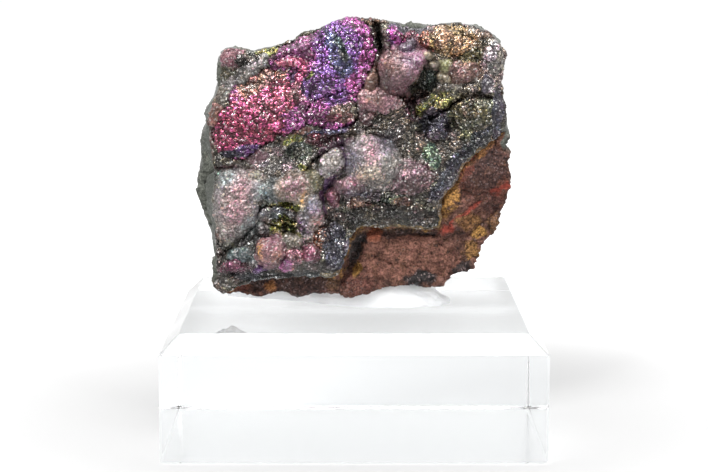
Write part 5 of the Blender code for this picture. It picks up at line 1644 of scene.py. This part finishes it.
def ironstone_material(settings):
    """Ironstone, broken goethite and hematite rock: earthy, matt and stained with ochre and red."""
    material, tree, shader, place = new_material("broken ironstone")
    mark = read_marks(tree, ("ochre", "red", "dark", "edge", "gap"))
    # Clouds, holes, purplish dark specks and crumbs, each by its width in millimetres.
    clouds, holes, specks, crumbs = (
        add_node(tree, "TexNoise", {"Vector": place, "Scale": 1 / width, "Detail": detail})
        for width, detail in ((1.6, 6.0), (0.75, 3.0), (0.5, 2.0), (0.30, 3.0)))
    cloud_share = add_node(tree, "MapRange", {"Value": clouds, "From Min": 0.35, "From Max": 0.65})
    colour = add_node(tree, "Mix", {
        "Factor": cloud_share, "A": (*settings.brown, 1), "B": (*settings.dusty, 1)}, data_type="RGBA")
    speck_share = add_node(tree, "MapRange", {
        "Value": specks, "From Min": 0.52, "From Max": 0.62, "To Max": 0.45})
    layers = [("purple", speck_share)] + [(name, mark[name]) for name in ("ochre", "red", "dark", "edge")]
    for name, share in layers:
        colour = add_node(tree, "Mix", {
            "Factor": share, "A": colour, "B": (*getattr(settings, name), 1)}, data_type="RGBA")
    # Stained and dark rock is more speckled than the dusty plane, and painted shade darkens the holes and
    # the gaps between the crumbs.
    stained = add_node(tree, "Math", {0: mark["dark"], 1: mark["ochre"]}, operation="ADD")
    contrast = add_node(tree, "MapRange", {"Value": stained, "To Min": 1.0, "To Max": 2.0})
    shade = add_node(tree, "MapRange", {
        "Value": crumbs, "From Min": 0.35, "From Max": 0.65, "To Min": 0.60, "To Max": 1.45})
    shade = add_node(tree, "Math", {0: shade, 1: contrast}, operation="POWER")
    hole_shade = add_node(tree, "MapRange", {
        "Value": holes, "From Min": 0.57, "From Max": 0.67, "To Min": 1.0, "To Max": 0.35})
    crumb_gap_shade = add_node(tree, "MapRange", {"Value": mark["gap"], "To Min": 1.0, "To Max": 0.72})
    for shade_part in (hole_shade, crumb_gap_shade):
        shade = add_node(tree, "Math", {0: shade, 1: shade_part}, operation="MULTIPLY")
    colour = add_node(tree, "VectorMath", {0: colour, "Scale": shade}, operation="SCALE")
    # Crystal faces 0.3 mm wide carry painted glints on the dark rock.
    facet = add_node(tree, "TexVoronoi", {"Vector": place, "Scale": 1 / 0.30}).outputs["Color"]
    facet_parts = add_node(tree, "SeparateColor", {"Color": facet}).outputs
    painted_glint = add_node(tree, "MapRange", {
        "Value": facet_parts["Green"], "From Min": 0.86, "From Max": 0.96, "To Max": 0.45})
    painted_glint = add_node(tree, "Math", {0: painted_glint, 1: mark["dark"]}, operation="MULTIPLY")
    colour = add_node(tree, "Mix", {
        "Factor": painted_glint, "A": colour, "B": (*settings.painted_glint, 1)}, data_type="RGBA")
    # Earthy rock has hardly any sheen.
    fill(tree, shader, {
        "Base Color": colour,
        "Roughness": add_node(tree, "MapRange", {"Value": mark["dark"], "To Min": 0.88, "To Max": 0.55}),
        "Normal": add_node(tree, "Bump", {"Height": crumbs, "Distance": 0.12 * MM, "Strength": 0.8}),
        "Specular IOR Level": 0.25,
    })
    return material


def acrylic_material(settings):
    """Cast acrylic, cut and diamond-polished: clear, with faint polishing lines on its faces.

    The underside is left as it was sawn, so what it mirrors is soft.
    """
    material, tree, shader, place = new_material("cast acrylic, polished")
    # Polishing lines run level round the sides, 0.25 mm apart.
    lined = add_node(tree, "Mapping", {"Vector": place, "Scale": (0.02, 0.02, 4.0)})
    lines = add_node(tree, "TexNoise", {"Vector": lined, "Scale": 1.0})
    level = add_node(tree, "SeparateXYZ", {"Vector": place}).outputs["Z"]
    sawn = add_node(tree, "MapRange", {
        "Value": level, "From Min": 0.05, "From Max": 0.25, "To Min": 0.22, "To Max": 0.003})
    fill(tree, shader, {
        "Base Color": (*settings.tint, 1),
        "Roughness": sawn,
        "Normal": add_node(tree, "Bump", {"Height": lines, "Distance": 0.004 * MM, "Strength": 0.25}),
        "Transmission Weight": 1.0,
        "IOR": 1.49,
    })
    return material


def putty_material(settings):
    """Silicone putty, kneaded and pressed: milky and half see-through, with a soft wet shine."""
    material, tree, shader, place = new_material("milky silicone putty")
    # Press marks about 3 mm long, and streaks of trapped air.
    folds = add_node(tree, "TexNoise", {"Vector": place, "Scale": 1 / 3.0, "Detail": 3.0})
    colour = add_node(tree, "Mix", {
        "Factor": folds, "A": (*settings.milky, 1), "B": (*settings.clear, 1)}, data_type="RGBA")
    fill(tree, shader, {
        "Base Color": colour,
        "Normal": add_node(tree, "Bump", {"Height": folds, "Distance": 0.4 * MM, "Strength": 0.5}),
        "Roughness": 0.42, "IOR": 1.41, "Transmission Weight": 0.55,
        "Subsurface Weight": 0.8, "Subsurface Radius": (1, 1, 1), "Subsurface Scale": 3 * MM})
    return material


def add_light(name, place, size, power):
    """A square softbox that looks at the middle of the stone."""
    data = bpy.data.lights.new(name, "AREA")
    data.size = size
    data.energy = power
    light = new_object(name, data)
    light.location = place
    toward = Vector(LIT_POINT) - light.location
    light.rotation_euler = toward.to_track_quat("-Z", "Y").to_euler()
    light.visible_camera = False
    return light


def build_floor(settings):
    """White paper, lit so that the eye, and what looks through the clear block, sees plain white.

    Its glow is painted duller under the block, as shade where less light gets in, and it gives the stone
    little light.
    """
    mesh = bpy.data.meshes.new("floor")
    ends = ((-1, -1), (1, -1), (1, 1), (-1, 1))
    mesh.from_pydata([(x * FLOOR_REACH, y * FLOOR_REACH, -FLOOR_DROP) for x, y in ends], [], [(0, 1, 2, 3)])
    floor = new_object("floor", mesh)
    paper = bpy.data.materials.new("white paper sweep")
    paper.use_nodes = True
    tree = paper.node_tree
    rays = add_node(tree, "LightPath").outputs
    through = rays["Is Transmission Ray"]
    place = add_node(tree, "TexCoord").outputs["Object"]
    size = add_node(tree, "VectorMath", {0: place}, operation="ABSOLUTE")
    parts = add_node(tree, "SeparateXYZ", {"Vector": size}).outputs
    ring = add_node(tree, "Math", {0: parts["X"], 1: parts["Y"]}, operation="MAXIMUM")
    open_floor = add_node(tree, "MapRange", {
        "Value": ring, "From Min": SHADE_RING[0], "From Max": SHADE_RING[1],
        "To Min": settings.under, "To Max": settings.glow})
    open_floor = add_node(tree, "Math", {0: open_floor, 1: through}, operation="MULTIPLY")
    # Away from the specimen the sheet fades into the white surroundings.
    away = add_node(tree, "VectorMath", {0: place}, operation="LENGTH")
    sweep = add_node(tree, "MapRange", {
        "Value": away, "From Min": SWEEP[0], "From Max": SWEEP[1],
        "To Min": SWEEP_GLOW[0], "To Max": SWEEP_GLOW[1]}, interpolation_type="SMOOTHSTEP")
    glow = add_node(tree, "Math", {
        0: sweep, 1: rays["Is Camera Ray"], 2: open_floor}, operation="MULTIPLY_ADD")
    mirrored = add_node(tree, "Math", {
        0: rays["Is Singular Ray"], 1: through}, operation="SUBTRACT", use_clamp=True)
    glow = add_node(tree, "Math", {0: mirrored, 1: settings.mirrored, 2: glow}, operation="MULTIPLY_ADD")
    fill(tree, tree.nodes["Principled BSDF"], {
        "Base Color": (*settings.floor, 1), "Roughness": 0.9,
        "Emission Color": (1, 1, 1, 1), "Emission Strength": glow})
    mesh.materials.append(paper)


def build_surroundings(settings):
    """The eye sees white. What lights the specimen is bright behind and above and dim in front."""
    world = bpy.data.worlds.new("white studio")
    bpy.context.scene.world = world
    world.use_nodes = True
    tree = world.node_tree
    rays = add_node(tree, "LightPath").outputs
    way = add_node(tree, "TexCoord").outputs["Generated"]
    parts = add_node(tree, "SeparateXYZ", {"Vector": way}).outputs
    rear = add_node(tree, "MapRange", {
        "Value": parts["Y"], "From Min": REAR_RAMP[0], "From Max": REAR_RAMP[1],
        "To Min": settings.front, "To Max": settings.rear})
    height = add_node(tree, "MapRange", {
        "Value": parts["Z"], "From Min": ZENITH_RAMP[0], "From Max": ZENITH_RAMP[1],
        "To Min": 0.0, "To Max": settings.zenith})
    lighting = add_node(tree, "Math", {0: rear, 1: height})
    seen = rays["Is Camera Ray"]
    for other in ("Is Transmission Ray", "Is Singular Ray"):
        seen = add_node(tree, "Math", {0: seen, 1: rays[other]}, operation="MAXIMUM")
    white = add_node(tree, "MapRange", {
        "Value": rays["Is Camera Ray"], "To Min": SEEN_WHITE[0], "To Max": SEEN_WHITE[1]})
    fill(tree, tree.nodes["Background"], {
        "Color": (1, 1, 1, 1),
        "Strength": add_node(tree, "Mix", {"Factor": seen, "A": lighting, "B": white}),
    })


def build_stage(settings):
    """The white floor, the pale surroundings, the softboxes and the camera."""
    build_floor(settings)
    build_surroundings(settings)
    for name, place, size, power in SOFTBOXES:
        add_light(name, place, size, power * settings.lamps)
    # A white card low in front lifts the putty alone, out of the stone's shade.
    card = add_light("low white card", CARD_PLACE, CARD_SIDE, settings.card)
    lit = bpy.data.collections.new("lit by the card")
    lit.objects.link(bpy.data.objects["putty_pad"])
    card.light_linking.receiver_collection = lit

    data = bpy.data.cameras.new("camera")
    data.lens = LENS
    data.sensor_width = SENSOR
    camera = new_object("camera", data)
    camera.location = CAMERA_PLACE
    camera.rotation_euler = (math.radians(90 - CAMERA_DOWN), 0.0, 0.0)
    bpy.context.scene.camera = camera
    # The photo's white is pure white, which the plain view of sRGB keeps.
    bpy.context.scene.view_settings.view_transform = "Standard"


def a_length(name, description, default, least):
    """A length, given in millimetres and kept in metres."""
    return FloatProperty(name=name, description=description, default=default * MM, min=least * MM,
                         unit="LENGTH", precision=5)


def a_colour(name, description, code):
    """A colour, given as an sRGB hex value and kept linear."""
    return FloatVectorProperty(name=name, description=description, default=linear(code), size=3,
                               min=0.0, max=1.0, subtype="COLOR")


def a_strength(name, description, default):
    """A strength or brightness without a unit."""
    return FloatProperty(name=name, description=description, default=default, min=0.0)


class SpecimenCrust(bpy.types.PropertyGroup):
    """The iridescent crust."""

    plate_grain: a_length("Plate grain", "Width of the domes on the bright plate", 0.64, 0.4)
    grain: a_length("Grain", "Width of the drusy grains", 0.48, 0.3)
    cluster: a_length("Cluster", "Width of the clusters of grains", 1.9, 1.0)
    fine_grain: a_length("Fine grain", "Width of the grains on the satin lumps", 0.29, 0.2)
    # Painted highlights: how much brighter the best crystal faces are painted.
    painted_sparkle: a_strength("Sparkle", "How much brighter the best crystal faces are", 1.5)
    glitter: a_strength("Glitter", "How far the tiny crystal faces tilt", 0.55)
    dark: a_colour("Dark goethite", "Darker colour where no film shows", "#2E2B2A")
    grey: a_colour("Grey goethite", "Lighter colour where no film shows", "#7C7571")
    # The colour painted on the brightest crystal faces as glints: a painted highlight.
    painted_glint: a_colour("Glint", "The brightest crystal faces", "#EDEAE7")


class SpecimenIronstone(bpy.types.PropertyGroup):
    """The rock behind the crust."""

    crumb: a_length("Crumb", "Width of the earthy crumbs", 0.42, 0.3)
    brown: a_colour("Brown", "Darker colour of the rock", "#4C3730")
    dusty: a_colour("Dusty", "Lighter colour of the rock", "#8A6357")
    purple: a_colour("Purple", "Purplish dark specks of the rock", "#4A2E34")
    ochre: a_colour("Ochre", "Yellow stain", "#96703A")
    red: a_colour("Red", "Red stain", "#8A3A2E")
    # The near-black paints the dark fragments, and also the painted shade under the ledge and in its hollow.
    dark: a_colour("Dark", "Near-black fragments", "#1F1A1A")
    # The colour of the painted glints on the dark rock: a painted highlight.
    painted_glint: a_colour("Glint", "Crystal faces on the dark rock", "#A08A88")
    edge: a_colour("Edge", "Grey-green broken edge of the crust", "#5F615A")


class SpecimenPutty(bpy.types.PropertyGroup):
    """The putty that holds the stone."""

    left_height: a_length("Left height", "Height of the pad on the left", 1.6, 1.0)
    right_height: a_length("Right height", "Height of the pad on the right", 4.6, 1.0)
    milky: a_colour("Milky", "Colour of the milky streaks", "#FBFCFE")
    clear: a_colour("Clear", "Colour of the clearer parts", "#EEF2F6")


class SpecimenBlock(bpy.types.PropertyGroup):
    """The acrylic block."""

    bevel: a_length("Bevel", "Width of the bevel round the top", 3.0, 0.5)
    arris: a_length("Arris", "Reach of the rounding along each edge", 0.12, 0.02)
    tint: a_colour("Tint", "Colour of the clear plastic", "#F6F8F9")


class SpecimenStage(bpy.types.PropertyGroup):
    """The floor, the lights and the camera."""

    floor: a_colour("Floor", "Colour of the floor", "#A4A4A4")
    glow: a_strength("Glow", "Light of the floor seen through the block", 0.28)
    # The floor's glow under the block is painted shade.
    under: a_strength("Under", "The same, under the block itself", 0.0)
    mirrored: a_strength("Mirrored", "Light of the floor mirrored in the polished block", 0.5)
    card: a_strength("Card", "Watts of the low card in front of the putty", 1.4)
    front: a_strength("Front", "Brightness of the surroundings behind the camera", 0.12)
    rear: a_strength("Rear", "Brightness of the surroundings behind the specimen", 0.85)
    zenith: a_strength("Zenith", "Brightness added overhead", 0.35)
    lamps: a_strength("Lamps", "Strength of all the softboxes", 1.1)


class SPECIMEN_OT_crust(bpy.types.Operator):
    """Build the four quarters of the iridescent crust"""

    bl_idname = "specimen.crust"
    bl_label = "Crust"

    def execute(self, context):
        build_crust(context.scene.specimen_crust)
        return {"FINISHED"}


class SPECIMEN_OT_ironstone(bpy.types.Operator):
    """Build the face and the back of the ironstone"""

    bl_idname = "specimen.ironstone"
    bl_label = "Ironstone"

    def execute(self, context):
        build_ironstone(context.scene.specimen_ironstone)
        return {"FINISHED"}


class SPECIMEN_OT_putty(bpy.types.Operator):
    """Build the putty pad"""

    bl_idname = "specimen.putty"
    bl_label = "Putty"

    def execute(self, context):
        build_putty(context.scene.specimen_putty)
        return {"FINISHED"}


class SPECIMEN_OT_block(bpy.types.Operator):
    """Build the acrylic block"""

    bl_idname = "specimen.block"
    bl_label = "Block"

    def execute(self, context):
        build_block(context.scene.specimen_block)
        return {"FINISHED"}


class SPECIMEN_OT_stage(bpy.types.Operator):
    """Set up the floor, the lights and the camera"""

    bl_idname = "specimen.stage"
    bl_label = "Stage"

    def execute(self, context):
        build_stage(context.scene.specimen_stage)
        return {"FINISHED"}


class SPECIMEN_PT_panel(bpy.types.Panel):
    """Lists the pieces and their settings"""

    bl_idname = "SPECIMEN_PT_panel"
    bl_label = "Goethite specimen"
    bl_space_type = "VIEW_3D"
    bl_region_type = "UI"
    bl_category = "Specimen"

    def draw(self, context):
        for piece in PIECES:
            box = self.layout.box()
            box.operator(f"specimen.{piece}")
            settings = getattr(context.scene, f"specimen_{piece}")
            for name in settings.__annotations__:
                box.prop(settings, name)


SETTINGS = {
    "block": SpecimenBlock,
    "putty": SpecimenPutty,
    "ironstone": SpecimenIronstone,
    "crust": SpecimenCrust,
    "stage": SpecimenStage,
}
PIECES = tuple(SETTINGS)
CLASSES = (
    *SETTINGS.values(), SPECIMEN_OT_block, SPECIMEN_OT_putty, SPECIMEN_OT_ironstone,
    SPECIMEN_OT_crust, SPECIMEN_OT_stage, SPECIMEN_PT_panel,
)


def register():
    for made in CLASSES:
        bpy.utils.register_class(made)
    for piece, group in SETTINGS.items():
        setattr(bpy.types.Scene, f"specimen_{piece}", PointerProperty(type=group))


def unregister():
    for piece in SETTINGS:
        delattr(bpy.types.Scene, f"specimen_{piece}")
    for made in reversed(CLASSES):
        bpy.utils.unregister_class(made)


def main():
    register()
    bpy.ops.specimen.block()
    bpy.ops.specimen.putty()
    bpy.ops.specimen.ironstone()
    bpy.ops.specimen.crust()
    bpy.ops.specimen.stage()


if __name__ == "__main__":
    main()
